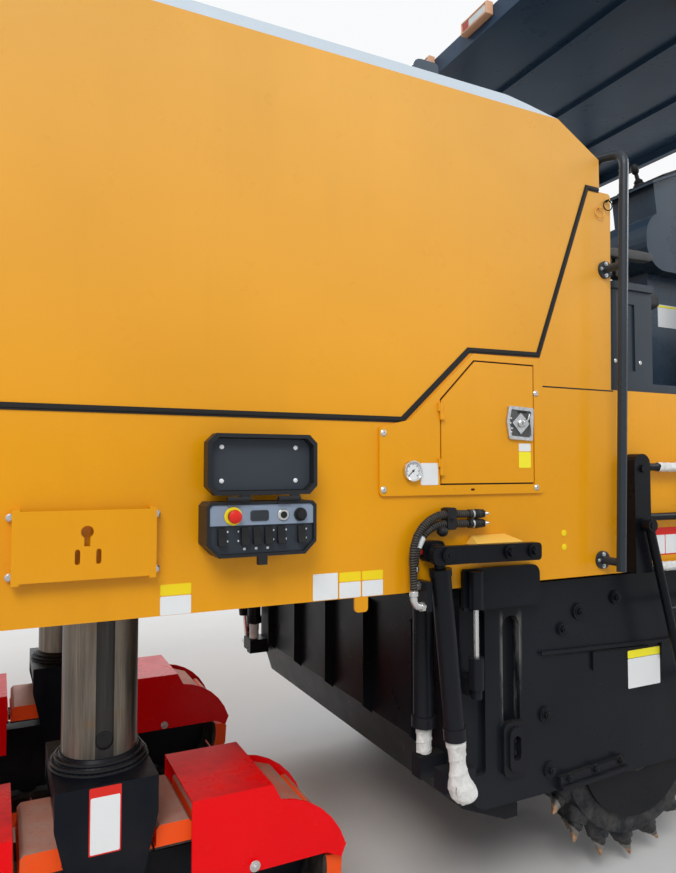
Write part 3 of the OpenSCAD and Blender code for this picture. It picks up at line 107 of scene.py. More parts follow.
def light_studio():
    """Three soft lamps and a pale blue world, which the camera, metal and glass see as white"""
    area_light("key", (-12, -12, 14), (-3, 0, 1.5), 9, 1900)
    area_light("fill_left", (-2, 14, 12), (-2, 0, 1.5), 10, 1500)
    area_light("front", (14, -6, 10), (2, 0, 1.5), 8, 900)
    world = bpy.data.worlds.new("world")
    scene.world = world
    world.use_nodes = True
    t = world.node_tree
    sky = t.nodes["Background"]
    white = t.nodes.new("ShaderNodeBackground")
    for shade, color, strength in ((sky, (0.86, 0.92, 1.0, 1), 0.62), (white, (0.95, 0.96, 0.97, 1), 1.0)):
        shade.inputs["Color"].default_value = color
        shade.inputs["Strength"].default_value = strength
    path = t.nodes.new("ShaderNodeLightPath")
    seen = path.outputs["Is Camera Ray"]
    for ray in ("Is Glossy Ray", "Is Transmission Ray"):
        either = t.nodes.new("ShaderNodeMath")
        either.operation = "MAXIMUM"
        t.links.new(seen, either.inputs[0])
        t.links.new(path.outputs[ray], either.inputs[1])
        seen = either.outputs[0]
    pick = t.nodes.new("ShaderNodeMixShader")
    for k, socket in enumerate((seen, sky.outputs[0], white.outputs[0])):
        t.links.new(socket, pick.inputs[k])
    t.links.new(pick.outputs[0], t.nodes["World Output"].inputs["Surface"])
    scene.view_settings.view_transform = "Standard"


def lay_floor():
    n = Net("floor")
    n.out("Base Color", n.mix(n.span(n.noise(0.8, 5.0), 0.3, 0.7), (0.62, 0.61, 0.59), (0.66, 0.65, 0.63)))
    n.out("Roughness", 0.9)
    bpy.ops.mesh.primitive_plane_add(size=160, location=(0, 0, 0))
    floor = bpy.context.object
    floor.name = "floor"
    floor.data.materials.append(n.m)


# ---- node materials
SPECULAR = 0.3      # of every material, as the white world would make the usual 0.5 too glossy
DUST = (0.30, 0.225, 0.16)
GRIME = (0.09, 0.076, 0.062)


class Net:
    """A material and short calls for its nodes; places in it are metres in the row's frame"""

    def __init__(self, name, **sockets):
        self.m = bpy.data.materials.new(name)
        self.m.use_nodes = True
        self.t = self.m.node_tree
        self.b = self.t.nodes["Principled BSDF"]
        self.b.inputs["Specular IOR Level"].default_value = SPECULAR
        for k, v in sockets.items():
            self.b.inputs[k.replace("_", " ")].default_value = v
        self.co = self.t.nodes.new("ShaderNodeTexCoord")
        self.pos = self.co.outputs["Object"]

    def link(self, value, socket):
        if isinstance(value, bpy.types.NodeSocket):
            self.t.links.new(value, socket)
        else:
            socket.default_value = value

    def out(self, socket_name, value):
        self.link(value, self.b.inputs[socket_name])

    def node(self, kind, output, inputs, **settings):
        """A new node's output; inputs are numbers, colours or sockets, by name or place"""
        n = self.t.nodes.new("ShaderNode" + kind)
        for k, v in settings.items():
            setattr(n, k, v)
        for k, v in inputs.items():
            self.link(v, n.inputs[k])
        return n.outputs[output]

    def scaled(self, x, y, z):
        return self.node("Mapping", 0, {"Vector": self.pos, "Scale": (x, y, z)})

    def noise(self, scale, detail=4.0, rough=0.6, vec=None, dist=0.0):
        return self.node("TexNoise", "Fac", {"Vector": vec or self.pos, "Scale": scale, "Detail": detail,
                                             "Roughness": rough, "Distortion": dist})

    def voronoi(self, scale):
        return self.node("TexVoronoi", "Distance", {"Vector": self.pos, "Scale": scale})

    def wave(self, scale, direction="X"):
        return self.node("TexWave", "Fac", {"Vector": self.pos, "Scale": scale}, bands_direction=direction)

    def math(self, op, a, b=0.0, clamp=False):
        return self.node("Math", 0, {0: a, 1: b}, operation=op, use_clamp=clamp)

    def times(self, *values):
        out = values[0]
        for v in values[1:]:
            out = self.math("MULTIPLY", out, v)
        return out

    def span(self, v, lo, hi, a=0.0, b=1.0):
        """Runs from a to b while v runs from lo to hi, and stays there outside"""
        ends = {"From Min": lo, "From Max": hi, "To Min": a, "To Max": b}
        return self.node("MapRange", 0, {"Value": v, **ends})

    def band(self, v, lo, hi, soft=0.0008):
        """1 between lo and hi, and 0 outside"""
        return self.times(self.span(v, lo - soft, lo), self.span(v, hi + soft, hi))

    def near(self, v, centre):
        return self.math("ABSOLUTE", self.math("SUBTRACT", v, centre))

    def mix(self, fac, a, b):
        a, b = (v if isinstance(v, bpy.types.NodeSocket) else (*v, 1) for v in (a, b))
        return self.node("Mix", 2, {"Factor": fac, 6: a, 7: b}, data_type="RGBA")

    def axes(self, source="Object"):
        n = self.t.nodes.new("ShaderNodeSeparateXYZ")
        self.t.links.new(self.co.outputs[source], n.inputs[0])
        return n.outputs[0], n.outputs[1], n.outputs[2]

    def radius(self, a, b):
        return self.math("SQRT", self.math("ADD", self.times(a, a), self.times(b, b)))

    def bump(self, height, strength, distance=0.001):
        relief = {"Height": height, "Strength": strength, "Distance": distance}
        self.out("Normal", self.node("Bump", 0, relief))


def finish_paint(n, base, rough, dust=0.25, top=0.3, low=1.0, peel=0.04, grain=160.0, dirt=DUST, metal=0.0):
    """Dust that settles below the height low and on faces that look up, over a base colour; the red paint's
    darker red there is painted shade
    """
    z = n.axes()[2]
    up = n.axes("Normal")[2]
    fine = n.noise(38.0, 3.0, 0.7)
    lowness = n.times(n.span(z, low, 0.0), n.span(n.noise(2.6, 5.0, 0.62), 0.32, 0.75))
    upward = n.times(n.span(up, 0.6, 0.95), n.span(n.noise(5.5, 6.0, 0.65), 0.38, 0.7))
    mask = n.math("ADD", n.times(lowness, dust), n.times(upward, top), True)
    mask = n.math("MULTIPLY", mask, n.span(fine, 0.25, 0.65, 0.6, 1.0), True)
    n.out("Base Color", n.mix(mask, base, dirt))
    clean = n.span(n.noise(9.0), 0.3, 0.7, rough - 0.04, rough + 0.05)
    n.out("Roughness", n.math("ADD", clean, n.times(mask, 0.4), True))
    if metal:
        n.out("Metallic", n.times(metal, n.math("SUBTRACT", 1.0, mask)))
    n.bump(n.math("ADD", n.noise(grain, 2.0), n.times(mask, fine)), peel)


def varied(n, color, shade, streak):
    """A colour with broad patches and faint runs down the sides"""
    dark = tuple(c * (1 - 2.2 * shade) for c in color)
    light = tuple(min(1, c * (1 + shade) + shade * 0.03) for c in color)
    col = n.mix(n.span(n.noise(0.9, 3.0, 0.5), 0.3, 0.7), dark, light)
    runs = n.span(n.noise(1.0, vec=n.scaled(9, 9, 0.7)), 0.52, 0.78, 0.0, streak * 4)
    return n.mix(runs, col, tuple(c * 0.62 for c in color))


def paint(name, color, rough=0.32, shade=0.06, streak=0.05, coat=0.0, ior=1.45, **finish):
    n = Net(name, Coat_Weight=coat, Coat_Roughness=0.12, IOR=ior)
    finish_paint(n, varied(n, color, shade, streak), rough, **finish)
    return n.m


def film(name, color, rough=0.38):
    """Clean printed film, and the clean pale yellow of the lift arm's foot, which is a painted highlight"""
    return paint(name, color, rough, 0.04, 0.02, dust=0.05, top=0.1, peel=0.03)


def yellow_material(name, plated=()):
    """Yellow paint, paler towards the roof as a painted sheen of the sky; plated fittings are boxes ((x0,
    x1), (z0, z1), least |y|)
    """
    n = Net(name, Coat_Weight=0.12, Coat_Roughness=0.1, IOR=1.38)
    x, y, z = n.axes()
    # The paler high colour, mixed in by height, is a painted sheen of the sky on the upper body
    low = varied(n, (0.81, 0.335, 0.002), 0.05, 0.03)
    high = varied(n, (0.80, 0.405, 0.08), 0.05, 0.02)
    finish_paint(n, n.mix(n.span(z, 1.75, 3.0), low, high), 0.3, dust=0.08, top=0.3, low=1.6, peel=0.03)
    if plated:
        metal = 0.0
        for (x0, x1), (z0, z1), out in plated:
            area = n.times(n.band(x, x0 / 1000 + SHIFT, x1 / 1000 + SHIFT), n.band(z, z0 / 1000, z1 / 1000),
                           n.span(n.math("ABSOLUTE", y), out / 1000, out / 1000 + 0.0004))
            metal = n.math("MAXIMUM", metal, area)
        zinc = n.mix(n.span(n.noise(60.0), 0.35, 0.7), (0.42, 0.43, 0.44), (0.66, 0.67, 0.68))
        painted = n.b.inputs["Base Color"].links[0].from_socket
        n.out("Base Color", n.mix(metal, painted, zinc))
        n.out("Metallic", n.times(metal, 0.9))
    return n.m


def plate_material():
    """Black paint of the side plates, paler along both edges of the guide slot"""
    n = Net("side_plate_paint", IOR=1.31)
    x, _, z = n.axes()
    pale_strip = 0.0
    for edge in (-752, -672):
        line = n.times(n.span(n.near(x, edge / 1000 + SHIFT), 0.016, 0.004), n.band(z, 0.6, 1.13, 0.03))
        pale_strip = n.math("MAXIMUM", pale_strip, line)
    pale_strip = n.times(pale_strip, n.span(n.noise(1.0, 5.0, 0.7, vec=n.scaled(26, 26, 5)), 0.45, 0.62), 0.55)
    base = n.mix(pale_strip, varied(n, (0.004, 0.006, 0.01), 0.25, 0.0), (0.2, 0.195, 0.18))
    finish_paint(n, base, 0.3, dust=0.1, top=0.3, low=1.0, peel=0.08, grain=90.0, dirt=GRIME)
    return n.m


def roof_material():
    """Slate cap of the hood, its steep edges polished"""
    n = Net("roof_slate", Coat_Weight=0.3, Coat_Roughness=0.08)
    z = n.axes()[2]
    up = n.math("ABSOLUTE", n.axes("Normal")[2])
    edge = n.times(n.band(z, HOOD / 1000 - 0.01, HOOD / 1000 + 0.051), n.span(up, 0.75, 0.6))
    base = n.mix(edge, varied(n, (0.06, 0.085, 0.115), 0.12, 0.04), (0.62, 0.7, 0.77))
    finish_paint(n, base, 0.24, dust=0.0, top=0.22)
    n.out("Metallic", n.times(edge, 0.85))
    return n.m


def leg_material():
    """Black yoke and track frame, and the bare sliding column above the weld collar with its dark groove"""
    n = Net("leg_steel", IOR=1.31)
    x, y, z = n.axes()
    column = n.span(z, 0.7755, 0.7765)
    streaks = n.noise(1.0, 5.0, 0.65, vec=n.scaled(16, 16, 1.1))
    bare = n.mix(n.span(streaks, 0.35, 0.68), (0.06, 0.052, 0.042), (0.28, 0.245, 0.2))
    pale = n.span(n.noise(1.0, 3.0, vec=n.scaled(30, 30, 0.5)), 0.58, 0.66)
    bare = n.mix(pale, bare, (0.34, 0.31, 0.26))
    bare = n.mix(n.span(n.noise(7.0, 5.0), 0.6, 0.72, 0.0, 0.5), bare, (0.21, 0.12, 0.055))
    lane = n.math("MINIMUM", *[n.near(x, v / 1000 + SHIFT) for v in LEG_X.values()])
    outside = n.span(n.math("ABSOLUTE", y), (LEG_Y + 103) / 1000, (LEG_Y + 104) / 1000)
    groove = n.times(n.span(lane, 0.029, 0.0275), outside)
    bare = n.mix(n.times(groove, 0.85), bare, (0.022, 0.024, 0.027))
    black = n.mix(n.span(n.noise(3.0, 5.0), 0.5, 0.8, 0, 0.2), (0.003, 0.005, 0.009), (0.06, 0.05, 0.04))
    n.out("Base Color", n.mix(column, black, bare))
    n.out("Metallic", n.times(column, 0.7))
    n.out("Roughness", n.span(streaks, 0.3, 0.7, 0.3, 0.5))
    n.bump(n.math("ADD", n.noise(120.0, 3.0), streaks), 0.08)
    return n.m


def track_material(name, centre):
    """Black chain and orange pads with dusty worn tops, told apart by the distance from the wheels' line"""
    n = Net(name)
    x, _, z = n.axes()
    dx = n.math("MAXIMUM", n.math("SUBTRACT", n.near(x, centre / 1000 + SHIFT), WHEEL_X / 1000), 0.0)
    r = n.radius(dx, n.math("SUBTRACT", z, WHEEL_Z / 1000))
    pad = n.span(r, (CHAIN_R + 11.5) / 1000, (CHAIN_R + 12.5) / 1000)
    outer = n.span(r, (CHAIN_R + 61) / 1000, (CHAIN_R + 71) / 1000)
    side = n.span(n.math("ABSOLUTE", n.axes("Normal")[1]), 0.4, 0.7)
    grime = n.noise(8.0, 6.0, 0.68)
    speck = n.noise(55.0, 4.0, 0.7)
    top = n.mix(n.span(grime, 0.38, 0.66), (0.46, 0.2, 0.15), (0.42, 0.28, 0.23))
    top = n.mix(n.span(speck, 0.55, 0.68, 0, 0.6), top, (0.26, 0.18, 0.14))
    edge = n.mix(n.span(grime, 0.55, 0.85, 0, 0.4), (0.93, 0.085, 0.004), (0.5, 0.19, 0.08))
    rubber = n.mix(n.times(outer, n.math("SUBTRACT", 1.0, side)), edge, top)
    chain = n.mix(n.span(grime, 0.4, 0.7), (0.012, 0.012, 0.013), (0.1, 0.08, 0.065))
    n.out("Base Color", n.mix(pad, chain, rubber))
    n.out("Roughness", n.span(grime, 0.3, 0.7, 0.5, 0.85))
    n.out("Metallic", n.times(n.math("SUBTRACT", 1.0, pad), 0.5))
    n.bump(n.math("ADD", speck, n.times(grime, 2.0)), 0.35, 0.002)
    return n.m


def drum_material():
    """Dark holders, worn shanks and bronze-brown pick tips, by the distance from the drum's axis"""
    n = Net("worn_steel", IOR=1.4)
    x, _, z = n.axes()
    r = n.radius(n.math("SUBTRACT", x, SHIFT), n.math("SUBTRACT", z, DRUM_Z / 1000))
    wear = n.noise(14.0, 5.0, 0.65)
    holder = n.mix(n.span(wear, 0.4, 0.7), (0.014, 0.016, 0.02), (0.085, 0.08, 0.075))
    shank = n.mix(n.span(wear, 0.35, 0.65), (0.09, 0.085, 0.08), (0.3, 0.28, 0.25))
    tip = n.mix(n.span(n.noise(60.0), 0.4, 0.65), (0.34, 0.17, 0.085), (0.5, 0.36, 0.24))
    col = n.mix(n.span(r, 0.456, 0.46), holder, shank)
    n.out("Base Color", n.mix(n.span(r, 0.474, 0.478), col, tip))
    n.out("Metallic", n.span(r, 0.44, 0.47, 0.3, 0.75))
    n.out("Roughness", n.span(wear, 0.3, 0.7, 0.35, 0.62))
    n.bump(n.noise(70.0), 0.3, 0.002)
    return n.m


def hose_material():
    n = Net("hose_rubber", IOR=1.4)
    n.out("Base Color", n.mix(n.span(n.noise(20.0), 0.45, 0.7), (0.008, 0.008, 0.009), (0.04, 0.037, 0.034)))
    n.out("Roughness", n.span(n.noise(30.0), 0.3, 0.7, 0.38, 0.58))
    n.bump(n.wave(95.0, "DIAGONAL"), 0.35, 0.0015)
    return n.m


def cloth_material(name, a, b):
    n = Net(name, Sheen_Weight=0.25, Sheen_Roughness=0.5)
    folds = n.noise(32.0, 5.0, 0.6, dist=0.8)
    col = n.mix(n.span(folds, 0.35, 0.7), a, b)
    n.out("Base Color", n.mix(n.span(n.noise(9.0, 5.0), 0.58, 0.75, 0, 0.45), col, (0.36, 0.31, 0.25)))
    n.out("Roughness", n.span(folds, 0.3, 0.7, 0.75, 0.95))
    threads = n.math("ADD", n.wave(900.0, "X"), n.wave(900.0, "Z"))
    n.bump(n.math("ADD", n.times(folds, 2.5), n.times(threads, 0.3)), 0.3, 0.002)
    return n.m


def leather_material():
    n = Net("seat_cover", Sheen_Weight=0.1, Sheen_Roughness=0.4)
    wear = n.noise(12.0)
    n.out("Base Color", n.mix(n.span(wear, 0.35, 0.7), (0.016, 0.017, 0.018), (0.045, 0.045, 0.046)))
    n.out("Roughness", n.span(wear, 0.3, 0.7, 0.42, 0.6))
    n.bump(n.math("ADD", n.voronoi(420.0), n.times(wear, 0.5)), 0.3, 0.001)
    return n.m


def glass_material(name, tint, rough=0.05):
    n = Net(name, Coat_Weight=0.4, Coat_Roughness=0.04, IOR=1.5)
    paler = tuple(min(1, c * 1.15 + 0.02) for c in tint)
    n.out("Base Color", n.mix(n.span(n.noise(14.0), 0.35, 0.7), tint, paler))
    n.out("Roughness", n.span(n.noise(24.0), 0.3, 0.7, rough, rough + 0.08))
    n.bump(n.wave(70.0, "Y"), 0.05)
    return n.m


LATCH_BOX = ((-756, -620), (1798, 1934), COVER + 0.5)
GAUGE_BOX = ((-1210, -1134), (1648, 1724), COVER + 0.5)
YELLOW = yellow_material("yellow_paint")
DOOR_YELLOW = yellow_material("door_yellow", [LATCH_BOX])
COVER_YELLOW = yellow_material("cover_yellow", [GAUGE_BOX])
BLACK = paint("black_paint", (0.004, 0.005, 0.008), 0.3, 0.25, 0.0, ior=1.31, dust=0.1, top=0.3, peel=0.08,
              grain=90.0, dirt=GRIME)
SIDE_PLATE = plate_material()
SLATE = paint("slate_paint", (0.032, 0.056, 0.088), 0.28, 0.15, coat=0.07, ior=1.4, dust=0.1, top=0.2,
              low=1.9)
# The canopy's slate is made bluer than the slate paint, a painted tint of the blue light seen on its
# underside
CANOPY = paint("canopy_slate", (0.03, 0.064, 0.115), 0.3, 0.15, 0.03, ior=1.33, dust=0.0, top=0.2)
DECK = paint("deck_slate", (0.02, 0.031, 0.044), 0.3, 0.15, 0.03, coat=0.12, dust=0.0, top=0.3)
RAIL = paint("rail_slate", (0.03, 0.039, 0.05), 0.3, 0.15, 0.03, ior=1.4, dust=0.1, top=0.15)
ROOF = roof_material()
# Faces that look up, and a little of the paint low down, turn a darker pinkish red: painted shade on the tops
# of the red parts
RED = paint("red_paint", (0.84, 0.001, 0.004), 0.25, 0.04, 0.01, coat=0.03, ior=1.31, dust=0.04, top=0.6,
            low=0.7, dirt=(0.26, 0.02, 0.04))
IRON = paint("engine_iron", (0.12, 0.12, 0.125), 0.6, 0.25, 0.1, dust=0.3, top=0.4, low=2.6, peel=0.3,
             grain=60.0)
PLASTIC = paint("black_plastic", (0.016, 0.018, 0.021), 0.42, 0.12, 0.0, ior=1.4, dust=0.05, top=0.2,
                peel=0.15, grain=700.0)
LINER = paint("lid_liner", (0.036, 0.044, 0.056), 0.55, 0.1, 0.0, dust=0.0, top=0.1, peel=0.12, grain=500.0)
PANEL_LIGHT = paint("panel_light", (0.25, 0.305, 0.395), 0.36, 0.05, 0.0, dust=0.0, top=0.1)
PANEL_DARK = paint("panel_dark", (0.028, 0.036, 0.048), 0.4, 0.08, 0.0, dust=0.0, top=0.1)
EXHAUST = paint("dull_steel", (0.22, 0.19, 0.165), 0.42, 0.3, 0.1, dust=0.1, top=0.2, low=3.4, metal=0.85)
SILVER = paint("zinc_plated", (0.62, 0.62, 0.61), 0.26, 0.08, 0.03, dust=0.1, top=0.1, metal=0.9)
CHROME = paint("chrome_rod", (0.74, 0.74, 0.75), 0.12, 0.05, 0.03, dust=0.1, top=0.1, metal=1.0)
RUBBER = paint("gasket_rubber", (0.012, 0.012, 0.013), 0.5, 0.15, 0.0, ior=1.4, dust=0.0, top=0.2, peel=0.2)
BELT = paint("belt_rubber", (0.03, 0.03, 0.031), 0.75, 0.2, 0.1, dust=0.5, top=0.55, low=3.5, peel=0.3,
             grain=120.0, dirt=(0.22, 0.19, 0.165))
LABEL = film("label_white", (0.8, 0.81, 0.8))
LABEL_YELLOW = film("label_yellow", (0.92, 0.68, 0.01))
LABEL_LEMON = film("label_lemon", (0.95, 0.84, 0.03))
LABEL_RED = film("label_red", (0.7, 0.02, 0.012))
# The pale yellow of the foot under the lift arm is a painted highlight of the sky
HIGHLIGHT_YELLOW = film("highlight_yellow", (0.94, 0.56, 0.1), 0.3)
LAMP_RED = paint("lamp_red", (0.45, 0.004, 0.004), 0.12, 0.05, 0.0, coat=0.5, dust=0.05, top=0.1)
LAMP_TAN = paint("lamp_tan", (0.75, 0.42, 0.25), 0.35, 0.05, 0.0, dust=0.0, top=0.1)
TREAD = paint("tread_plate", (0.2, 0.2, 0.2), 0.45, 0.15, 0.1, dust=0.2, top=0.45, low=2.4, metal=0.7)
LEG = leg_material()
DRUM = drum_material()
HOSE = hose_material()
# The guard's grey, far lighter than the hose, stands for the highlights on the spiral's ridges: a painted
# highlight
GUARD = paint("hose_guard", (0.11, 0.095, 0.08), 0.4, 0.2, 0.0, dust=0.1, top=0.2, peel=0.1)
CLOTH = cloth_material("white_cloth", (0.62, 0.61, 0.58), (0.84, 0.83, 0.8))
LEATHER = leather_material()
LENS = glass_material("lamp_glass", (0.62, 0.64, 0.62))
SCREEN = glass_material("screen_glass", (0.015, 0.02, 0.026))

SLOT_LOOK = {
    "yellow_paint": YELLOW, "black_paint": BLACK, "slate_paint": SLATE, "red_paint": RED, "engine_iron": IRON,
    "black_plastic": PLASTIC, "dull_steel": EXHAUST, "chrome_rod": CHROME, "leg_steel": LEG,
    "worn_steel": DRUM, "hose_rubber": HOSE, "white_cloth": CLOTH, "seat_cover": LEATHER, "lamp_glass": LENS}
NODE_LOOK = {
    "service_door": DOOR_YELLOW, "side_covers": COVER_YELLOW, "side_plate_right": SIDE_PLATE,
    "side_plate_left": SIDE_PLATE, "canopy": CANOPY, "operator_deck": DECK, "handrails": RAIL,
    "hood_roof": ROOF}


def dress_nodes():
    """Gives each CAD node its material: by its name, by its slot in the record, or as one of the tracks"""
    tracks = {end: track_material("track_pads_" + end, x) for end, x in LEG_X.items()}
    for part in frame["record"]["subparts"]:
        name = part["node"]
        look = NODE_LOOK.get(name) or SLOT_LOOK.get(part["material_slot"]) or tracks[name[len("track_")]]
        for s in frame["nodes"][name].material_slots:
            s.material = look


# ---- building pieces
def turn(a):
    return Vector((math.cos(a), math.sin(a)))


def unit_circle(n):
    return [turn(2 * math.pi * k / n) for k in range(n)]


def square_to(t):
    """Two directions square to the unit vector t and to each other"""
    u = t.orthogonal().normalized()
    return u, t.cross(u)


def frames_along(points):
    """Points of a route with two directions square to it, turned as little as possible from point to point"""
    points = [Vector(p) for p in points]
    side, rows = None, []
    for i, p in enumerate(points):
        t = (points[min(i + 1, len(points) - 1)] - points[max(i - 1, 0)]).normalized()
        side = t.orthogonal().normalized() if side is None else (side - t * side.dot(t)).normalized()
        rows.append((p, side, t.cross(side)))
    return rows


class Piece:
    """Gathers solids in millimetres, then makes one mesh that rides on a body"""

    def __init__(self):
        self.bm = bmesh.new()

    def grid(self, rings, close=True, caps=True):
        rows = [[self.bm.verts.new(p) for p in ring] for ring in rings]
        n = len(rows[0])
        for a, b in zip(rows, rows[1:]):
            for k in range(n if close else n - 1):
                self.bm.faces.new((a[k], a[(k + 1) % n], b[(k + 1) % n], b[k]))
        if caps:
            self.bm.faces.new(rows[0][::-1])
            self.bm.faces.new(rows[-1])
        return self

    def prism(self, outline, y0, y1):
        """An outline in (x, z), from y0 to y1"""
        return self.grid([[(x, y, z) for x, z in outline] for y in (y0, y1)])

    def box(self, lo, hi):
        return self.prism(rectangle(lo[0], lo[2], hi[0], hi[2]), lo[1], hi[1])

    def turned(self, start, direction, profile, n=24):
        """Rings of rows (radius, distance) along a direction"""
        start, t = Vector(start), Vector(direction).normalized()
        u, w = square_to(t)
        circle = unit_circle(n)
        return self.grid([[start + t * h + r * (c.x * u + c.y * w) for c in circle] for r, h in profile])

    def cylinder(self, a, b, r, n=24):
        run = Vector(b) - Vector(a)
        return self.turned(a, run, [(r, 0), (r, run.length)], n)

    def bolt(self, p, d, r=12, h=9):
        """A washer, a hexagon head and the shank's end, at p and facing d"""
        p, d = Vector(p), Vector(d)
        self.cylinder(p, p + d * 2.5, r * 1.55, 20)
        self.cylinder(p, p + d * h, r, 6)
        return self.cylinder(p, p + d * (h + 4), r * 0.5, 12)

    def screw(self, p, d, r):
        """A domed head with a socket"""
        dome = ((1, 0), (1, 0.1), (0.64, 0.4), (0.25, 0.4), (0.25, 0.15))
        return self.turned(p, d, [(r * a, r * h) for a, h in dome], 20)

    def ring(self, c, axis, big, small, n=40, m=10):
        a = Vector(axis).normalized()
        u, w = square_to(a)
        rows = []
        for i in range(n + 1):
            d = turn(2 * math.pi * i / n)
            out = d.x * u + d.y * w
            rows.append([Vector(c) + out * (big + small * q.x) + a * small * q.y for q in unit_circle(m)])
        return self.grid(rows, caps=False)

    def tube(self, points, r, n=12):
        circle = unit_circle(n)
        return self.grid([[p + r * (c.x * u + c.y * w) for c in circle] for p, u, w in frames_along(points)])

    def done(self, name, mat, body, bevel=0.0, angle=35, slot=None):
        bmesh.ops.remove_doubles(self.bm, verts=self.bm.verts, dist=0.0005)
        for v in self.bm.verts:
            v.co = V(*v.co)
        bmesh.ops.recalc_face_normals(self.bm, faces=self.bm.faces)
        me = bpy.data.meshes.new(name)
        self.bm.to_mesh(me)
        self.bm.free()
        me.materials.append(mat)
        me.shade_smooth()
        me.set_sharp_from_angle(angle=math.radians(angle))
        o = bpy.data.objects.new(name, me)
        scene.collection.objects.link(o)
        if bevel:
            b = o.modifiers.new("bevel", "BEVEL")
            b.width = bevel / 1000
            b.segments = 2
            b.limit_method = "ANGLE"
            b.angle_limit = math.radians(40)
        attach(o, body)
        return o


def rectangle(x0, z0, x1, z1, inset=0):
    x0, z0, x1, z1 = x0 + inset, z0 + inset, x1 - inset, z1 - inset
    return [(x0, z0), (x1, z0), (x1, z1), (x0, z1)]


def rounded(x0, z0, x1, z1, r, n=4):
    """A rectangle with round corners"""
    points = []
    for k, (cx, cz) in enumerate(((x1 - r, z1 - r), (x0 + r, z1 - r), (x0 + r, z0 + r), (x1 - r, z0 + r))):
        for i in range(n + 1):
            d = turn(math.radians(90 * k + 90 * i / n))
            points.append((cx + r * d.x, cz + r * d.y))
    return points


def chamfered(x0, z0, x1, z1, low, high):
    """A rectangle with its lower and upper corners cut at 45 degrees"""
    return [(x0 + low, z0), (x1 - low, z0), (x1, z0 + low), (x1, z1 - high), (x1 - high, z1), (x0 + high, z1),
            (x0, z1 - high), (x0, z0 + low)]


def offset_line(points, w):
    """Points beside a line in (x, z), at the distance w to its left"""
    out = []
    for i, p in enumerate(points):
        p = Vector(p)
        before = (p - Vector(points[i - 1])).normalized() if i else None
        after = (Vector(points[i + 1]) - p).normalized() if i < len(points) - 1 else before
        before = before or after
        normal = Vector((-(before + after).y, (before + after).x)).normalized()
        out.append(p + normal * w / max(0.5, normal.dot(Vector((-before.y, before.x)))))
    return out


def arc(a, b, c, r, n=6):
    """The corner at b between a and c, as an arc of radius r"""
    u, v = (a - b).normalized(), (c - b).normalized()
    half = u.angle(v) / 2
    mid = b + (u + v).normalized() * r / math.sin(half)
    p, q = b + u * r / math.tan(half) - mid, b + v * r / math.tan(half) - mid
    s = math.pi - 2 * half
    turned = [s * k / n for k in range(n + 1)]
    return [mid + (p * math.sin(s - a) + q * math.sin(a)) / math.sin(s) for a in turned]


def resampled(points, step):
    """Points at even steps along a route"""
    out, left = [points[0]], step
    for a, b in zip(points, points[1:]):
        run = (b - a).length
        while left <= run:
            out.append(a.lerp(b, left / run))
            left += step
        left -= run
    return out


def plate(name, x0, z0, x1, z1, face, mat, body="root"):
    """A bare sticker on a face that looks to the right, at the distance face from the middle"""
    Piece().prism(rounded(x0, z0, x1, z1, 4), -face, -(face + 0.9)).done(name, mat, body)


def headed_plate(name, x0, x1, z, face, mat, head, body="root"):
    """A sticker with a coloured band along its top; z holds its foot, the band's foot and its top"""
    plate(name, x0, z[0], x1, z[1] - 2, face, mat, body)
    plate(name + "_head", x0, z[1], x1, z[2], face, head, body)


# ---- both sides of the body; s is -1 on the right and 1 on the left
SEAL_W = 10.5
SEAM_Z = WAIST + HOOD_GAP / 2
SEAM = [(54 - REAR, SEAM_Z), (-1203, SEAM_Z), (-915, SEAM_Z + 267), (-581, SEAM_Z + 273),
        (-307, HOOD - 256), (-241, HOOD - 256)]


def hood_seal(side, s):
    """Rubber lip over the gap under the hood, with a raised bead along its middle"""
    half = [(SEAL_W, 0.4), (SEAL_W - 0.5, 3), (5, 3.2), (3.6, 5.8)]
    section = half + [(-w, d) for w, d in reversed(half)]
    lines = [[(p.x, s * (SIDE + d), p.y) for p in offset_line(SEAM, w)] for w, d in section]
    Piece().grid(list(zip(*lines))).done("hood_seal_" + side, RUBBER, "root", slot="hose_rubber")


def band_seam(side, s):
    """Dark joint between the column plate and the lower band, ahead of the service cover"""
    p = Piece().box((-566, s * (SIDE + 0.3), BAND - 7), (-174, s * (SIDE + 1), BAND - 2))
    p.done("band_seam_" + side, RUBBER, "root")


def rail_bolts(side, s):
    """Four bolts on each flange of the handrail"""
    p = Piece()
    for x, z in ((-255, BELLY + 60), (-214, 2522)):
        for d in unit_circle(4):
            p.bolt((x + 24 * d.x, s * (SIDE + 10), z + 24 * d.y), (0, s, 0), 6, 5)
    p.done("rail_bolts_" + side, SILVER, "root")


def pin_rings(side, s):
    """A black split ring and a painted one on the column plate"""
    for k, (x, z, mat) in enumerate(((-196, 2797, BLACK), (-244, 2760, YELLOW))):
        p = Piece().ring((x, s * (SIDE + 9), z), (0.15, 1, 0), 21, 2.4, 36, 8)
        p.cylinder((x, s * SIDE, z + 21), (x, s * (SIDE + 13), z + 21), 5, 14)
        p.done(f"pin_ring_{side}_{k}", mat, "root")


PLATE_BOSSES = ((-549, 741), (-529, 527), (-457, 1060), (-368, 1121), (-163, 1160), (420, 1060), (420, 620))
LEDGE_X, LEDGE_Z, LEDGE_FALL = -570, 971, 35 / 617


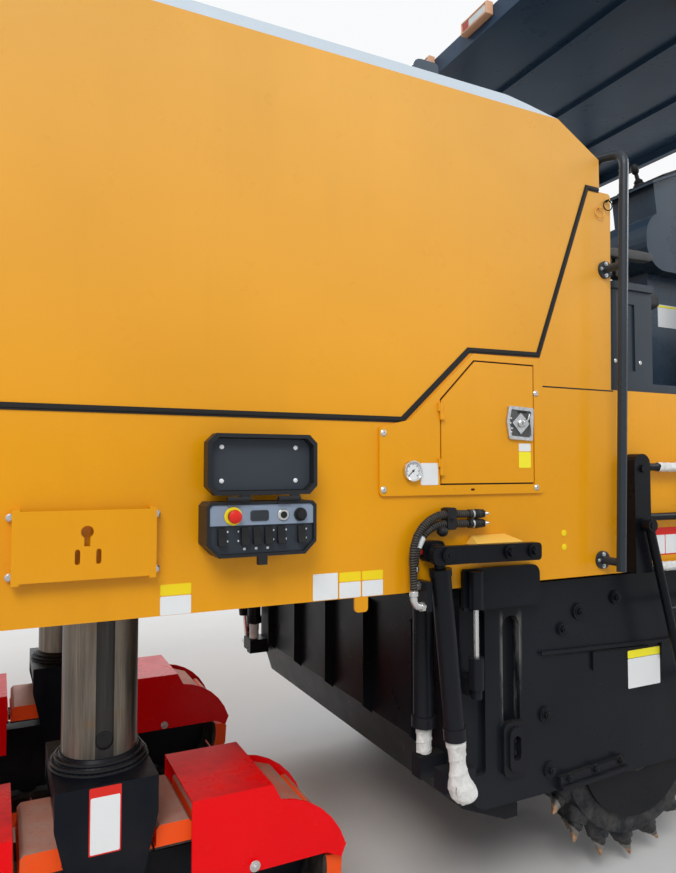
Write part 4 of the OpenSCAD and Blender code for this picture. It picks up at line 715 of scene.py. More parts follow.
def plate_trim(side, s):
    """Screw heads over the side plate's bosses and strip, the weld under its ledge and the sensor's rod"""
    p = Piece()
    for x, z in PLATE_BOSSES:
        p.bolt((x, s * (PLATE + 10.5), z), (0, s, 0), 15, 12.5)
    for x in (-450, -310, -170):
        p.bolt((x, s * (PLATE + 21.5), 514 + x * 0.06), (0, s, 0), 13, 12.5)
    p.done("plate_bolts_" + side, BLACK, "plate_" + side, bevel=0.8)
    p = Piece()
    for k in range(58):
        run = 10.5 * k
        place = (LEDGE_X + run, s * (PLATE + 0.5), LEDGE_Z - run * LEDGE_FALL)
        p.turned(place, (0, s, 0), [(6, 0), (4.5, 3), (2, 4.6)], 8)
    p.done("plate_weld_" + side, BLACK, "plate_" + side)
    sensor = (-918, s * (SIDE + 36))
    rod = Piece().cylinder((*sensor, 1017), (*sensor, 1189), 10.2, 20)
    rod.done("sensor_rod_" + side, SILVER, "plate_" + side)


def guide_bolts(side, s):
    """Two bolts in the oblong recess of the guide block"""
    p = Piece()
    for z in (628, 674):
        p.bolt((-712, s * (PLATE + 8.3), z), (0, s, 0), 10.5, 9)
    p.done("guide_bolts_" + side, BLACK, "root", bevel=0.8)


def rung_wraps(side, s):
    """White protective cloth wound round two of the ladder's fixed rungs"""
    start, length, r, y = 40, 250, 18.6, s * (SIDE + 34)
    turns, steps, around = 6, 45, 28
    for k, z in enumerate((1700, 1280)):
        rows = []
        for i in range(steps + 1):
            t = i / steps
            ring = []
            for q in range(around):
                a = 2 * math.pi * q / around
                lap = (t * turns + q / around) % 1.0
                out = r + 2.4 * lap ** 3 + 0.8 * math.sin(5 * a + 9 * t + k) + 0.5 * math.sin(11 * a - 17 * t)
                x = start + length * t + 2 * math.sin(3 * a + k)
                ring.append((x, y + out * math.cos(a), z + out * math.sin(a)))
            rows.append(ring)
        wrap = Piece().grid(rows, caps=False)
        o = wrap.done(f"rung_wrap_{side}_{k}", CLOTH, "root", angle=60, slot="white_cloth")


def arm_trim(side, s):
    """Bolt heads and pin head of the lift arm, the foot behind it in a paler yellow that is a painted
    highlight, and a red plug at its rear end
    """
    arm = SIDE + 122
    pin_x, pin_z = ARM_PIN
    p = Piece()
    for x in (-826, -717):
        p.bolt((x, s * (arm - 2), pin_z - 4), (0, s, 0), 16, 10)
    for profile, n in (([(19, 0), (19, 3.5)], 24), ([(7, 0), (4, 9)], 14)):
        p.turned((pin_x, s * arm, pin_z), (0, s, 0), profile, n)
    p.done("arm_bolts_" + side, BLACK, "root", bevel=0.8)
    rings = []
    for low_x, high_x in ((-937, -912), (-727, -757)):
        corners = ((low_x, 1, 1419), (low_x, 70, 1419), (low_x, 70, 1428),
                   (high_x, 6, 1450), (high_x, 1, 1450))
        rings.append([(x, s * (SIDE + out), z) for x, out, z in corners])
    foot = Piece().grid(rings)
    foot.done("arm_foot_" + side, HIGHLIGHT_YELLOW, "root", bevel=1.5, slot="yellow_paint")
    cap = [(13, 0), (13, 7), (10, 11), (0.5, 12)]
    plug = Piece().turned((-1136, s * (SIDE + 10), 1404), (-1, 0, 0), cap, 20)
    plug.done("arm_plug_" + side, LABEL_RED, "root")


def block_behind(x, y0, z0, y1, z1, steps):
    """A block that stands out backwards from x; its rings are (distance, inset)"""
    return Piece().grid([[(x - d, y, z) for y, z in rectangle(y0, z0, y1, z1, inset)] for d, inset in steps])


def lamp_trim(side, s):
    """Lens of the tail lamp, and rims and lenses of the two work lamps at the front"""
    y0, y1 = sorted((s * 704, s * 876))
    lens = block_behind(50 - REAR, y0, 1504, y1, 1596, ((0, -2), (22, -2), (25.5, 3)))
    lens.done("tail_lens_" + side, LAMP_RED, "root", bevel=2)
    rims, lenses = Piece(), Piece()
    for z in (1480, 1620):
        rims.turned((3400, s * 850, z), (1, 0, 0), [(60, 0), (60, 30), (51, 44), (47, 44), (47, 41)], 36)
        rims.box((3396, s * 850 - 14, z - 76), (3406, s * 850 + 14, z - 50))
        lenses.turned((3442, s * 850, z), (1, 0, 0), [(46.5, 0), (40, 2.2), (22, 4.4), (6, 5)], 36)
    rims.done("lamp_rims_" + side, BLACK, "root")
    lenses.done("lamp_lenses_" + side, LENS, "root", slot="lamp_glass")


# ---- right side: service cover, gauge, latch, control box, stickers
def cover_screws():
    """Domed screws at the corners of the service cover and of the keyhole plate"""
    p = Piece()
    for x, z in ((-1284, 1817), (-1284, 1621), (-603, 1985), (-603, 1621)):
        p.screw((x, -COVER, z), RIGHT, 12)
    for x, z in ((-2441, 1564), (-2441, 1404), (-2052, 1564), (-2052, 1404)):
        p.screw((x, -SIDE - 12, z), RIGHT, 11)
    p.done("cover_screws", SILVER, "root")


DOOR = ((-1045, 1641), (-618, 1641), (-618, 2090), (-894, 2090), (-1045, 1938))
DOOR_GAP = 6
LATCH_RECESS = ((-740, 1870), (-730, 1819), (-642, 1813), (-636, 1913), (-730, 1919))


def door_gap():
    """Dark bottoms of the gap round the service door, of the slot below it and of the latch's recess"""
    p = Piece()
    rows = []
    for x, z in DOOR + DOOR[:1]:
        out_x = x + (-DOOR_GAP if x < -800 else DOOR_GAP)
        out_z = z + (-DOOR_GAP if z < 1800 else DOOR_GAP)
        low, high = -SIDE - 0.3, -SIDE - 1.2
        rows.append([(x, low, z), (out_x, low, out_z), (out_x, high, out_z), (x, high, z)])
    p.grid(rows, caps=False)
    p.prism(rounded(-914.5, 1613.5, -897.5, 1620.5, 3), -SIDE - 4.9, -SIDE - 5.4)
    p.done("door_gap", RUBBER, "root")
    Piece().prism(LATCH_RECESS, -(COVER + 4.9), -(COVER + 5.4)).done("latch_floor", IRON, "door_body")


def pressure_gauge():
    """White dial in a bright rim, with 31 ticks and its needle at rest"""
    gx, gz = -1172, 1686
    dial = -(COVER + 11.4)
    rim = [(37.2, 0), (37.2, 14), (36, 17), (33.5, 17.4), (31.2, 16), (30.6, 10)]
    Piece().turned((gx, -COVER, gz), RIGHT, rim, 48).done("gauge_rim", CHROME, "root", slot="chrome_rod")
    face = [(30.8, 0), (30.7, 1), (0.4, 1.1)]
    Piece().turned((gx, dial + 1, gz), RIGHT, face, 48).done("gauge_face", LABEL, "root")
    p = Piece()

    def mark(angle, r0, r1, w, depth):
        """A bar between two radii, of half width w"""
        d, e = turn(math.radians(angle)), turn(math.radians(angle + 90))
        corners = (d * r0 + e * w, d * r0 - e * w, d * r1 - e * w, d * r1 + e * w)
        p.prism([(gx + q.x, gz + q.y) for q in corners], dial, dial - depth)

    for k in range(31):
        mark(225 - k * 9, *((20, 27, 1.1) if k % 5 == 0 else (24, 27, 0.6)), 0.5)
    mark(222, -8, 22, 1.2, 1.2)
    p.turned((gx, dial, gz), RIGHT, [(4, 0), (4, 2), (2.4, 3)], 16)
    p.done("gauge_marks", RUBBER, "root")


def door_latch():
    """Lever, pivot cap and rim screws on the plated latch"""
    px, pz = -687, 1866
    face = COVER + 10

    def at(x, out, z):
        """A place from the pivot, with its distance in front of the latch's face"""
        return px + x, -(face + out), pz + z

    p = Piece()
    p.turned(at(0, 6, 0), RIGHT, [(15.6, 0), (15.6, 2), (11, 6.4), (8, 7), (7.4, 5.4), (0.4, 5.4)], 28)
    p.tube([at(8, 9, 2), at(28, 8, 14), at(38, 5, 34)], 3.4, 12)
    p.tube([at(38, 4, 38), at(43, 5, 10), at(49, 4, -34), at(50, 2, -44)], 3.2, 12)
    for x, z in ((-46, 18), (-49, 0), (-42, -20), (-46, -34)):
        p.screw(at(x, 0, z), RIGHT, 4.2)
    p.done("door_latch", SILVER, "door_body", bevel=0.4)
    p = Piece()
    p.box(at(-1.5, 11.6, -6), at(1.5, 12.1, 6))
    p.box(at(-12, -4.6, 40), at(34, -3.4, 47))
    p.done("key_slot", RUBBER, "door_body")


BOX_FACE = SIDE + BOX_D
PANEL = BOX_FACE - 4
ROCKERS = [BOX_X + x for x in (47, 118, 155, 192, 233, 300)]


def box_panels():
    """Pale upper and dark lower switch panel, to the box's chamfered rim"""
    x0, x1 = BOX_X + 9.5, BOX_X + BOX_W - 9.5
    low, middle, high = BOX_Z + 9.5, BOX_Z + 94, BOX_Z + BOX_H - 9
    upper = [(x0, middle), (x1, middle), (x1, high - 9), (x1 - 9, high), (x0 + 9, high), (x0, high - 9)]
    lower = [(x0, low + 33.5), (x0 + 34, low), (x1 - 34, low), (x1, low + 33.5), (x1, middle - 0.5),
             (x0, middle - 0.5)]
    Piece().prism(upper, -(PANEL - 8.5), -(PANEL + 0.3)).done("panel_upper", PANEL_LIGHT, "root", bevel=0.8)
    Piece().prism(lower, -(PANEL - 8.5), -(PANEL - 6.5)).done("panel_lower", PANEL_DARK, "root", bevel=0.5)


def box_switches():
    """Stop button on its ring, rockers, display, socket and knob, with small marks beside them"""

    def at(x, out, z=122):
        """A place on the box, with its distance in front of the box's face"""
        return Vector((BOX_X + x, -(BOX_FACE + out), BOX_Z + z))

    ring = [(27, 0), (27, 3), (24.5, 5.4), (12, 5.6)]
    Piece().turned(at(80, -3), RIGHT, ring, 36).done("stop_ring", LABEL_YELLOW, "root", bevel=0.4)
    mushroom = [(11, 0), (11, 8), (19.2, 9), (20.4, 13), (19.2, 19), (13, 22.6), (5, 24), (0.3, 24.2)]
    Piece().turned(at(80, 5), RIGHT, mushroom, 36).done("stop_button", LABEL_RED, "root")
    p = Piece()
    for x in ROCKERS:
        rows = []
        for z, d in ((36, 9.5), (46, 6.6), (58, 3.2), (62, 2.8), (74, 1.8), (87, 0.6)):
            front, back = -(BOX_FACE + d), -(BOX_FACE - 9)
            corners = ((-12.4, front), (12.4, front), (12.4, back), (-12.4, back))
            rows.append([(x + w, y, BOX_Z + z) for w, y in corners])
        p.grid(rows)
    p.done("rocker_caps", RUBBER, "root", bevel=1.4, angle=50)
    window = rounded(BOX_X + 134, BOX_Z + 106, BOX_X + 192, BOX_Z + 138, 7)
    Piece().prism(window, -(PANEL - 1), -(BOX_FACE - 0.6)).done("display_window", SCREEN, "root", bevel=0.8)
    rim = [(19, 0), (19, 1.4), (16, 4.4), (11, 4.6), (10.4, 2.2), (0.5, 2.1)]
    Piece().turned(at(240, -3), RIGHT, rim, 30).done("socket_rim", SILVER, "root")
    p = Piece()
    p.cylinder(at(240, -0.8), at(240, -0.3), 10.2, 24)
    p.turned(at(295, -1), RIGHT, [(21, 0), (20.6, 5), (16, 6), (15, 15), (13.4, 17), (0.3, 17.3)], 30)
    for d in unit_circle(12):
        rib = (295 + 15.4 * d.x, 122 + 15.4 * d.y)
        p.cylinder(at(rib[0], 5, rib[1]), at(rib[0], 13, rib[1]), 1.7, 8)
    p.done("control_knob", RUBBER, "root")
    p = Piece()
    marks = [(x - 4, 20, x + 4, 27) for x in ROCKERS[1:4]]
    for x in (ROCKERS[0] + 19, ROCKERS[1] - 19, ROCKERS[3] + 19, ROCKERS[4] + 19, ROCKERS[5] + 19):
        marks += [(x - 2, z - 3, x + 2, z + 3) for z in (48, 76)]
    for x0, z0, x1, z1 in marks:
        p.prism(rounded(x0, BOX_Z + z0, x1, BOX_Z + z1, 1.5), -(PANEL - 6.6), -(PANEL - 6.2))
    p.done("switch_marks", LABEL, "root")


def box_lid():
    """Plain liner with four rivets inside the lid"""
    hinge_z = BOX_Z + BOX_H + 8
    low, high = hinge_z + 24, hinge_z + 184
    back = SIDE + 66
    outline = chamfered(BOX_X + 12.5, low + 0.5, BOX_X + BOX_W - 12.5, high - 0.5, 21.5, 21.5)
    Piece().prism(outline, -(back - 0.5), -(back + 5)).done("lid_liner", LINER, "lid_body", bevel=2)
    p = Piece()
    for x in (BOX_X + 50, BOX_X + BOX_W - 62):
        for z in (low + 30, high - 28):
            p.turned((x, -(back + 4.6), z), RIGHT, [(7.5, 0), (7, 2), (4, 3.8), (0.4, 4.2)], 18)
    p.done("lid_rivets", LABEL, "lid_body")


def stickers():
    """The stickers and plates, left bare, with yellow plugs and the deck wall's screws"""
    plate("label_under_gauge", -1134, 1636, -1060, 1714, COVER, LABEL)
    headed_plate("label_lower_left", -2037, -1945, (1263, 1320, 1353), SIDE, LABEL, LABEL_YELLOW)
    plate("label_middle_a", -1545, 1264, -1455, 1350, SIDE, LABEL)
    headed_plate("label_middle_b", -1449, -1369, (1264, 1318, 1349), SIDE, LABEL, LABEL_YELLOW)
    headed_plate("label_middle_c", -1363, -1283, (1264, 1318, 1349), SIDE, LABEL, LABEL_YELLOW)
    headed_plate("label_under_latch", -690, -632, (1697, 1760, 1790), COVER, LABEL_LEMON, LABEL, "door_body")
    headed_plate("label_plate", -92, 100, (774, 898, 930), PLATE, LABEL, LABEL_LEMON, "plate_right")
    plate("label_front", 46, 1322, 196, 1440, SIDE, LABEL_RED)
    plate("label_front_field_0", 51, 1327, 118, 1408, SIDE + 0.8, LABEL)
    plate("label_front_field_1", 123, 1327, 191, 1408, SIDE + 0.8, LABEL)
    yoke = LEG_Y + GUARD_W / 2 + 12
    plate("label_yoke", -2207, 531, -2113, 731, yoke, LABEL_RED, "leg_body_rr")
    plate("label_yoke_field", -2203, 535, -2117, 702, yoke + 0.6, LABEL, "leg_body_rr")
    plate("label_console", 640, 2440, 900, 2560, 650, LABEL)
    plate("label_console_head", 640, 2545, 900, 2556, 650.8, LABEL_LEMON)
    p = Piece()
    for z in (1439, 1384):
        p.turned((-458, -SIDE, z), RIGHT, [(13, 0), (12.4, 2), (8, 3.4), (0.3, 3.8)], 24)
    p.done("hole_plugs", LABEL_YELLOW, "root")
    p = Piece()
    for x in (-135, 14):
        p.screw((x, -(SIDE - 20), 2150), RIGHT, 9)
    p.done("wall_screws", SILVER, "root")


# ---- hoses beside the lift arm; routes as (x, distance from the side, z, bend radius), as in the source
HOSE_ROUTES = (((-905, 30, 1530, 0), (-1190, 34, 1537, 150), (-1190, 54, 1222, 24), (-1150, 54, 1222, 0)),
               ((-905, 30, 1495, 0), (-1152, 28, 1502, 118), (-1178, 24, 1288, 22), (-1150, 24, 1288, 0)))
HOSE_R = 12
COIL_PITCH, COIL_STEPS = 8.5, 14
ELBOW = 74                                # length of the plated elbow at a hose's lower end


def hose_path(route):
    p = [Vector((x, -(SIDE + out), z)) for x, out, z, _ in route]
    return [p[0]] + arc(p[0], p[1], p[2], route[1][3]) + arc(p[1], p[2], p[3], route[2][3]) + [p[3]]


def hose_trim():
    """Spiral guards, plated elbows and collars, a clamp, a tag and a rubber ball"""
    spirals, plated, black = Piece(), Piece(), Piece()
    per_mm = COIL_STEPS / COIL_PITCH
    ahead = (1, 0, 0)
    for route in HOSE_ROUTES:
        points = resampled(hose_path(route), COIL_PITCH / COIL_STEPS)
        coil = []
        for i, (p, u, w) in enumerate(frames_along(points)[int(48 * per_mm):-int((ELBOW + 8) * per_mm)]):
            d = turn(2 * math.pi * i / COIL_STEPS)
            coil.append(p + (HOSE_R + 0.9) * (d.x * u + d.y * w))
        spirals.tube(coil, 1.8, 6)
        tail = points[-int(ELBOW * per_mm):]
        plated.tube(tail[::6] + [tail[-1]], HOSE_R + 0.8, 20)
        plated.turned(tail[0], tail[20] - tail[0], [(14, -12), (16.5, -10), (16.5, 6), (14, 8)], 24)
        plated.cylinder(tail[-1] + Vector((-16, 0, 0)), tail[-1] + Vector((-2, 0, 0)), 17.5, 6)
        x, y, z = points[0]
        black.turned((x - 4, y, z), ahead, [(14, -14), (17.6, -12), (17.6, 4), (14, 6)], 24)
        black.cylinder((x + 12, y, z), (x + 26, y, z), 16.8, 6)
        plated.turned((x - 26, y, z), ahead, [(13, 0), (17.4, 1), (17.4, 7), (13, 8)], 24)
        plated.turned((x + 26, y, z), ahead, [(7.5, 0), (7.5, 14), (5, 20), (5, 26)], 18)
    spirals.done("hose_spirals", GUARD, "root", angle=70)
    plated.done("hose_fittings", SILVER, "root", bevel=0.5)
    black.prism(rounded(-1046, 1478, -1008, 1556, 9), -(SIDE + 10), -(SIDE + 49))
    black.bolt((-1027, -(SIDE + 49), 1517), RIGHT, 7, 5)
    ball = [(8, 0), (15, 5), (18.5, 14), (19, 22), (15, 33), (7, 39), (0.5, 40)]
    black.turned((-1067, -(SIDE + 26), 1474), RIGHT, ball, 24)
    black.done("hose_clamp", RUBBER, "root", bevel=0.8, slot="hose_rubber")
    tagged = [p for p in resampled(hose_path(HOSE_ROUTES[1]), 4) if 1418 < p.z < 1456 and p.x < -1100]
    Piece().tube(tagged, HOSE_R + 2.6, 20).done("hose_tag", LABEL, "root")


# ---- cloth wound round the lift rod's end and the scraper's rods
def cloth_area(rows):
    area, n = 0.0, len(rows[0])
    for a, b in zip(rows, rows[1:]):
        for k in range(n):
            p, q, r, t = (Vector(v) / 1000 for v in (a[k], a[(k + 1) % n], b[(k + 1) % n], b[k]))
            area += ((q - p).cross(t - p).length + (q - r).cross(t - r).length) / 2
    return area


def cloth_wrap(name, body, height, middle, girth, windings, crumple, limit=None):
    """Cloth round a rod, in overlapping windings

    middle(t) is its centre, girth(t) its radius and crumple(t) the size of its creases, at t from its top
    to its foot. limit(z) is the greatest y allowed, which keeps the cloth off the side plate.
    """
    rings, sides, rows = 56, 52, []
    for i in range(rings):
        t = i / (rings - 1)
        c, size = middle(t), crumple(t)
        row = []
        for k in range(sides):
            a = 2 * math.pi * k / sides
            lap = (t * windings + k / sides) % 1.0
            creases = math.sin(3 * a + 8 * t) + 0.7 * math.sin(7 * a - 15 * t + 1)
            creases += 0.5 * math.sin(12 * a + 31 * t)
            r = girth(t) + 2.6 * lap ** 4 + size * creases
            y = c.y + r * math.sin(a)
            if limit:
                y = min(y, limit(c.z))
            row.append((c.x + r * math.cos(a), y, c.z + 1.5 * size * math.sin(4 * a + 19 * t)))
        rows.append(row)
    o = Piece().grid(rows, caps=False).done(name, CLOTH, body, angle=50, slot="white_cloth")
    round(cloth_area(rows) / height, 4)
    return o


def bell(t, at, width):
    return math.exp(-((t - at) / width) ** 2)


def rod_cloths():
    """Cloth round the right lift rod's end, in place of the source's plain one, and on the scraper's rods"""
    pin, eye = Vector(ARM_PIN), Vector(ROD_EYE)
    top, length = 752, 220

    def rod_middle(t):
        z = top - length * t
        on_axis = pin + (eye - pin) * min(1.03, (pin.y - z) / (pin.y - eye.y))
        return Vector((on_axis.x + 14 * bell(t, 0.86, 0.2), -CYLINDER_Y, z))

    def rod_girth(t):
        waist = 31 - 3 * bell(t, 0.36, 0.12) + 4 * bell(t, 0.05, 0.08)
        foot = 19 * bell(t, 0.8, 0.19)
        return waist + foot - 22 * max(0, t - 0.9) / 0.1

    wrap = cloth_wrap("rod_cloth", "rod_right", length / 1000, rod_middle, rod_girth, 4.5,
                      lambda t: 0.5 + 1.3 * max(0, t - 0.45), lambda z: -1109.5 if z < 640 else 0)
    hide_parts("rod_wrap")
    for side, s in SIDES:
        cloth_wrap("scraper_cloth_" + side, "scraper_body", 0.088,
                   lambda t: Vector((-1035, s * 950, 734 - 88 * t)),
                   lambda t: 27.5 + 2 * bell(t, 0.1, 0.15), 2.5, lambda t: 0.6)


# ---- legs
def leg_trim(tag, x, s):
    """Weld beads of the collar, guard bolts, the groove's foot and the seal under the steering ring"""
    y = s * LEG_Y
    body = "leg_body_" + tag
    p = Piece()
    for r, z, bead in ((152, YOKE_Z + 1, 5.5), (147, YOKE_Z + 13, 6.5), (136, YOKE_Z + 27, 6)):
        rows = []
        for i in range(97):
            d = turn(2 * math.pi * i / 96)
            q = bead * (0.85 + 0.3 * (i % 2))
            section = [(r + q * c.x, z + q * c.y) for c in unit_circle(8)]
            rows.append([(x + d.x * out, y + d.y * out, height) for out, height in section])
        p.grid(rows, caps=False)
    p.done("collar_welds_" + tag, BLACK, body)
    p = Piece()
    for end in (-1, 1):
        for out in (-1, 1):
            p.bolt((x + end * 472, y + out * (GUARD_W / 2 + 9.5), 374), (0, out, 0), 12, 7)
    p.done("guard_bolts_" + tag, SILVER, body, bevel=0.6)
    foot = y + s * (COLUMN_R - 13.5)
    p = Piece().turned((x, foot, 830), (0, s, 0), [(27, 0), (26, 2), (3, 3)], 28)
    p.bolt((x, foot + s * 2.5, 842), (0, s, 0), 8, 5)
    p.done("groove_foot_" + tag, RUBBER, body)
    p = Piece().turned((x, y, 1250), (0, 0, 1), [(121, 0), (143, 0), (143, 11.5), (121, 11.5)], 48)
    p.done("column_seal_" + tag, RUBBER, "steer_" + tag)


# ---- operator's deck
DECK_FLOOR = BAND + 40


def tread_bars():
    """Raised bars of the tread plate, in rows that lean left and right by turns"""
    first_x, last_x, pitch_x, pitch_y = 40, 1750, 92, 100
    p = Piece()
    for i in range(19):
        for j in range(-9, 10):
            x, y = first_x + i * pitch_x + (pitch_x / 2 if j % 2 else 0), j * pitch_y
            if x > last_x:
                continue
            lean = math.radians(45 if (i + j) % 2 else -45)
            d, e = turn(lean) * 17, turn(lean + math.pi / 2) * 4
            p.grid([[(x + q.x * u, y + q.y * v, DECK_FLOOR + h) for q in (d, e, -d, -e)]
                    for u, v, h in ((1, 1, 0.2), (0.8, 0.6, 2.6))])
    p.done("tread_bars", TREAD, "root")


JOYSTICK = [(34, 0), (32, 8), (22, 18), (24, 26), (16, 36), (11, 40), (10, 66), (17, 74), (21, 90), (20, 108),
            (12, 120), (2, 123)]


def console_trim(side, s):
    """Panel, screen, joystick and knobs on the console's sloping hood"""
    rise, run = 158, 376
    slope = math.atan2(rise, run)
    up, out = Vector((math.cos(slope), 0, math.sin(slope))), Vector((-math.sin(slope), 0, math.cos(slope)))
    foot = Vector((500, s * 585, BAND + 1142))

    def on_desk(u, v, h):
        """A place u up the slope, v across from its middle and h above it"""
        return foot + up * u + Vector((0, v, 0)) + out * h

    def pad(u0, u1, half, h0, h1):
        return Piece().grid([[on_desk(u, v, h) for u, v in rectangle(u0, -half, u1, half)] for h in (h0, h1)])

    pad(24, 396, 150, 0.5, 6).done("console_panel_" + side, PLASTIC, "root", bevel=2)
    pad(190, 320, 96, 6, 20).done("console_frame_" + side, RUBBER, "root", bevel=3)
    pad(200, 310, 86, 20, 21).done("console_screen_" + side, SCREEN, "root", bevel=0.4)
    p = Piece()
    p.turned(on_desk(110, 0, 5), on_desk(112, 0, 100) - on_desk(110, 0, 5), JOYSTICK, 28)
    for k in range(4):
        p.turned(on_desk(356, -75 + 50 * k, 5), out, [(13, 0), (13, 5), (9, 12), (1, 13)], 20)
    for k in (-2, -1, 1, 2):
        for m in range(3):
            p.turned(on_desk(60 + 34 * m, 48 * k, 5), out, [(9, 0), (9, 3), (7, 7), (1, 8)], 16)
    p.done("console_controls_" + side, RUBBER, "root")


# ---- seats: cushions swollen by cloth simulation, then given their sewn channels
def pad_blank(size):
    """A low rounded block with sides that pull in between its corners, from a size in millimetres"""
    lx, ly, lz = size
    n = 26
    bm = bmesh.new()
    top, low = {}, {}
    for i in range(n + 1):
        for j in range(n + 1):
            u, v = 2 * i / n - 1, 2 * j / n - 1
            flat = max(0.0, (1 - abs(u) ** 4.5) * (1 - abs(v) ** 4.5))
            x = u * lx / 2 * (1 - 0.035 * (1 - v * v) * abs(u) ** 8)
            y = v * ly / 2 * (1 - 0.035 * (1 - u * u) * abs(v) ** 8)
            crown = 0.12 * math.cos(u * math.pi / 2) * math.cos(v * math.pi / 2)
            top[i, j] = bm.verts.new((x, y, lz * (0.5 * (0.55 + 0.45 * flat ** 0.45) + crown)))
            edge = i in (0, n) or j in (0, n)
            low[i, j] = bm.verts.new((x, y, -lz * 0.28 if edge else -lz * 0.5 * (0.75 + 0.25 * flat ** 0.5)))
    for i in range(n):
        for j in range(n):
            square = ((i, j), (i + 1, j), (i + 1, j + 1), (i, j + 1))
            bm.faces.new([top[q] for q in square])
            bm.faces.new([low[q] for q in reversed(square)])
    rim = ([(i, 0) for i in range(n)] + [(n, j) for j in range(n)] + [(i, n) for i in range(n, 0, -1)]
           + [(0, j) for j in range(n, 0, -1)])
    for a, b in zip(rim, rim[1:] + rim[:1]):
        bm.faces.new((top[a], low[a], low[b], top[b]))
    bmesh.ops.recalc_face_normals(bm, faces=bm.faces)
    for v in bm.verts:
        v.co /= 1000
    me = bpy.data.meshes.new("pad")
    bm.to_mesh(me)
    bm.free()
    return me


def evaluated_mesh(o):
    view = bpy.context.evaluated_depsgraph_get()
    return bpy.data.meshes.new_from_object(o.evaluated_get(view), depsgraph=view)


def swell(o, pressure=4.0, cap=0.009, voxel=0.011, frames=20):
    """Blows a pad up by cloth simulation, no point moving further than cap"""
    even = o.modifiers.new("remesh", "REMESH")
    even.mode = "VOXEL"
    even.voxel_size = voxel
    o.data = evaluated_mesh(o)
    o.modifiers.clear()
    start = [v.co.copy() for v in o.data.vertices]
    cloth = o.modifiers.new("cloth", "CLOTH")
    cloth.settings.use_pressure = True
    cloth.settings.uniform_pressure_force = pressure
    cloth.settings.effector_weights.gravity = 0
    cloth.point_cache.frame_start, cloth.point_cache.frame_end = 1, frames
    for f in range(1, frames + 1):
        scene.frame_set(f)
    blown = evaluated_mesh(o)
    o.modifiers.clear()
    for v, a, b in zip(o.data.vertices, start, blown.vertices):
        step = b.co - a
        v.co = a + step * min(1.0, cap / max(step.length, 1e-9))
    scene.frame_set(1)


def sew(me, size, channels, width=0.05):
    """Presses sewn channels into a pad's top; a channel is (axis, place from -1 to 1)"""
    lx, ly, lz = (v / 1000 for v in size)
    for v in me.vertices:
        if v.co.z > 0:
            u, w = 2 * v.co.x / lx, 2 * v.co.y / ly
            fall = max(0.0, 1 - abs(u) ** 6) * max(0.0, 1 - abs(w) ** 6)
            for axis, at in channels:
                v.co.z -= lz * 0.13 * fall ** 0.4 * bell(u if axis == "x" else w, at, width)


def cushions(name, size, places, lean, channels=(), simulate=True):
    """One pad shape at several places (piece name, x, y, z), leaning about Y by an angle in degrees"""
    blank = bpy.data.objects.new(name, pad_blank(size))
    scene.collection.objects.link(blank)
    if simulate:
        swell(blank)
    sew(blank.data, size, channels)
    shape = blank.data
    bpy.data.objects.remove(blank)
    tilt = Matrix.Rotation(math.radians(lean), 3, "Y")
    made = []
    for piece, x, y, z in places:
        me = shape.copy()
        for v in me.vertices:
            v.co = V(x, y, z) + tilt @ v.co
        me.materials.clear()
        me.materials.append(LEATHER)
        me.shade_smooth()
        o = bpy.data.objects.new(piece, me)
        scene.collection.objects.link(o)
        smooth = o.modifiers.new("smooth", "SUBSURF")
        smooth.levels = smooth.render_levels = 1
        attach(o, "root")
        made.append(o)
    return made


def seat_base(side, yc):
    """Bellows over the seat's spring, its foot, and the brackets of the armrests"""
    eight = chamfered(-1, -1, 1, 1, 0.2, 0.2)
    rows = []
    for i in range(9):
        fold = 0 if i % 2 else 14
        rows.append([(130 + (108 - fold) * c, yc + (112 - fold) * d, BAND + 62 + i * 43) for c, d in eight])
    p = Piece().grid(rows)
    p.box((12, yc - 122, DECK_FLOOR + 1), (248, yc + 122, BAND + 62))
    for off in (-217, 217):
        p.box((40, yc + off - 12, BAND + 548), (66, yc + off + 12, BAND + 640))
    p.box((-60, yc - 208, BAND + 560), (40, yc + 208, BAND + 574))
    p.box((-30, yc - 217, BAND + 548), (66, yc + 217, BAND + 562))
    p.done("seat_base_" + side, RUBBER, "root", bevel=4)


def seats():
    """Cushions, backs and armrests of both seats, in place of the source's plain seats"""
    middle = {side: s * 685 for side, s in SIDES}
    places = [("seat_pad_" + side, 165, y, BAND + 474) for side, y in middle.items()]
    pads = cushions("pad", (430, 405, 92), places, -2, (("x", -0.35), ("x", 0.25), ("y", -0.68), ("y", 0.68)))
    places = [("seat_back_" + side, -36, y, BAND + 735) for side, y in middle.items()]
    cushions("back", (412, 385, 76), places, 82, (("x", -0.3), ("x", 0.3), ("y", -0.66), ("y", 0.66)))
    places = [(f"arm_pad_{side}_{k}", 125, y + off, BAND + 660)
              for side, y in middle.items() for k, off in enumerate((-217, 217))]
    cushions("arm", (300, 46, 46), places, -2, simulate=False)
    for side, y in middle.items():
        seat_base(side, y)
    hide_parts("seats")


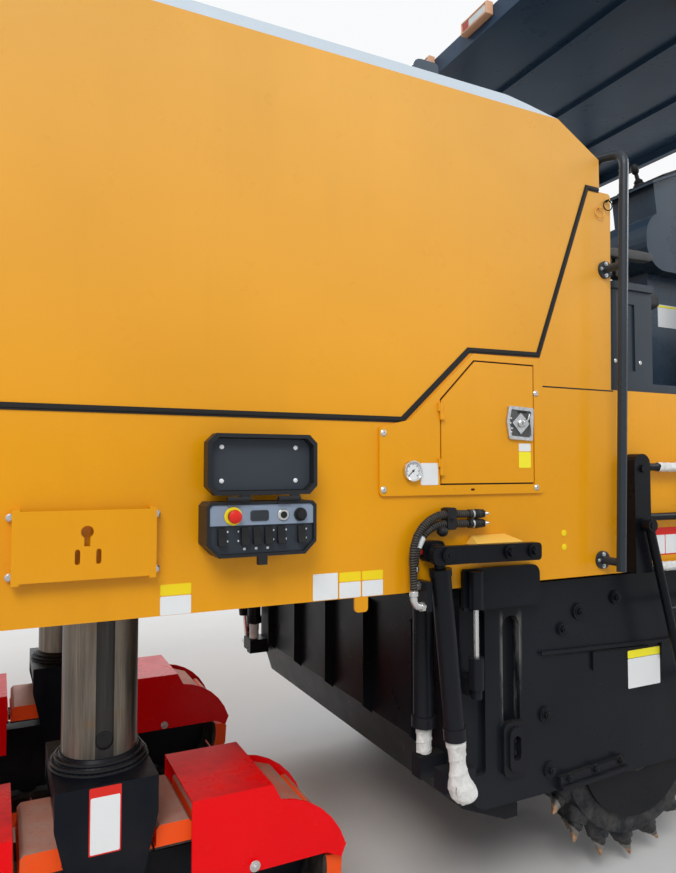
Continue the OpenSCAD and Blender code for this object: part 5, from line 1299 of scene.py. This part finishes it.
# ---- rubber belts with cleats over the conveyors' carcasses
def belt(name, origin, tilt, start, end, width, top, cleats, body, cleat=(14, 24)):
    """A belt between two distances along a conveyor, over its carcass, with cleats at the given places"""
    c, s = math.cos(math.radians(tilt)), math.sin(math.radians(tilt))

    def at(u, y, h):
        """A place u along the conveyor and h above the carcass"""
        h += top
        return origin[0] + u * c - h * s, y, origin[1] + u * s + h * c

    p = Piece()
    half = width / 2
    p.grid([[at(u, y, h) for h, y in ((0, -half), (5, -half), (5, half), (0, half))] for u in (start, end)])
    t, high = cleat
    ends = ((3, 0.45 * high), (30, high + 2.5))
    section = [(y - half, h) for y, h in ends] + [(half - y, h) for y, h in reversed(ends)]
    for u in cleats:
        rings = []
        for y, h in section:
            profile = ((u - 5, 0), (u - 2, h), (u + t + 2, h), (u + t + 5, 0))
            rings.append([at(along, y, up) for along, up in profile])
        p.grid(rings)
    p.done(name, BELT, body, bevel=1.5)


def belts():
    belt("belt_main", PIVOT, TILT, -40, 4988, 814, 40.3, [90 + 240 * k for k in range(20)], "boom_body")
    belt("belt_jib", PIVOT, TILT, 5012, 7010, 714, 40.3, [5148 + 240 * k for k in range(7)], "jib_body")
    places = [60 + 220 * k for k in range(14)]
    belt("belt_gather", (760, 620), 22, 30, 3080, 714, 90.3, places, "root", (16, 26))


# ---- hood, canopy and rear
def radiator_mesh():
    """Upright and level wires behind the rear grille"""
    p = Piece()
    x, half, low, high = 46 - REAR, 720, 2030, 2810
    across, upwards = 25, 26
    for k in range(across + 1):
        y = -half + 2 * half * k / across
        p.box((x, y - 3, low), (x + 3, y + 3, high))
    for k in range(upwards + 1):
        z = low + (high - low) * k / upwards
        p.box((x + 1, -half - 2, z - 2), (x + 4, half + 2, z + 2))
    p.done("radiator_mesh", RUBBER, "hood_body")


def exhaust_clamp():
    """Clamp, bolts and rolled rim of the exhaust"""
    x, y, foot = -900, 400, HOOD + 37
    p = Piece()
    p.turned((x, y, foot), (0, 0, 1), [(64, 18), (66, 20), (66, 44), (64, 46)], 40)
    p.ring((x, y, foot + 228), (0, 0, 1), 63, 4, 40, 8)
    for d in unit_circle(3):
        p.bolt((x + 76 * d.x, y + 76 * d.y, foot + 17), (0, 0, 1), 6, 5)
    p.done("exhaust_clamp", EXHAUST, "hood_body", bevel=0.5)


def canopy_lamps(side, s):
    """Work lamp on the canopy's rear edge: tan housing, lens and a red strip"""
    rear, y0, y1, z0, z1 = -211, s * 267 - 112, s * 267 + 112, 4046, 4116
    housing = block_behind(rear, y0, z0, y1, z1, ((0, 0), (38, 0), (46, 4), (46, 12), (40, 14)))
    housing.done("canopy_lamp_" + side, LAMP_TAN, "canopy_body", bevel=3)
    lens = block_behind(rear, y0 + 15, z0 + 15, y1 - 70, z1 - 15, ((39.5, 0), (43, 2)))
    lens.done("canopy_lens_" + side, LENS, "canopy_body", slot="lamp_glass")
    strip = Piece().box((rear - 43, y1 - 66, z0 + 16), (rear - 39, y1 - 16, z1 - 16))
    strip.done("canopy_red_" + side, LAMP_RED, "canopy_body", bevel=1)


# ---- the scene
place_camera()
light_studio()
lay_floor()
dress_nodes()
for side, s in SIDES:
    for make in (hood_seal, band_seam, rail_bolts, pin_rings, plate_trim, guide_bolts, rung_wraps, arm_trim,
                 lamp_trim, console_trim, canopy_lamps):
        make(side, s)
    for end, x in LEG_X.items():
        leg_trim(end + side[0], x, s)
for make in (cover_screws, door_gap, pressure_gauge, door_latch, box_panels, box_switches, box_lid, stickers,
             hose_trim, rod_cloths, tread_bars, seats, belts, radiator_mesh, exhaust_clamp):
    make()
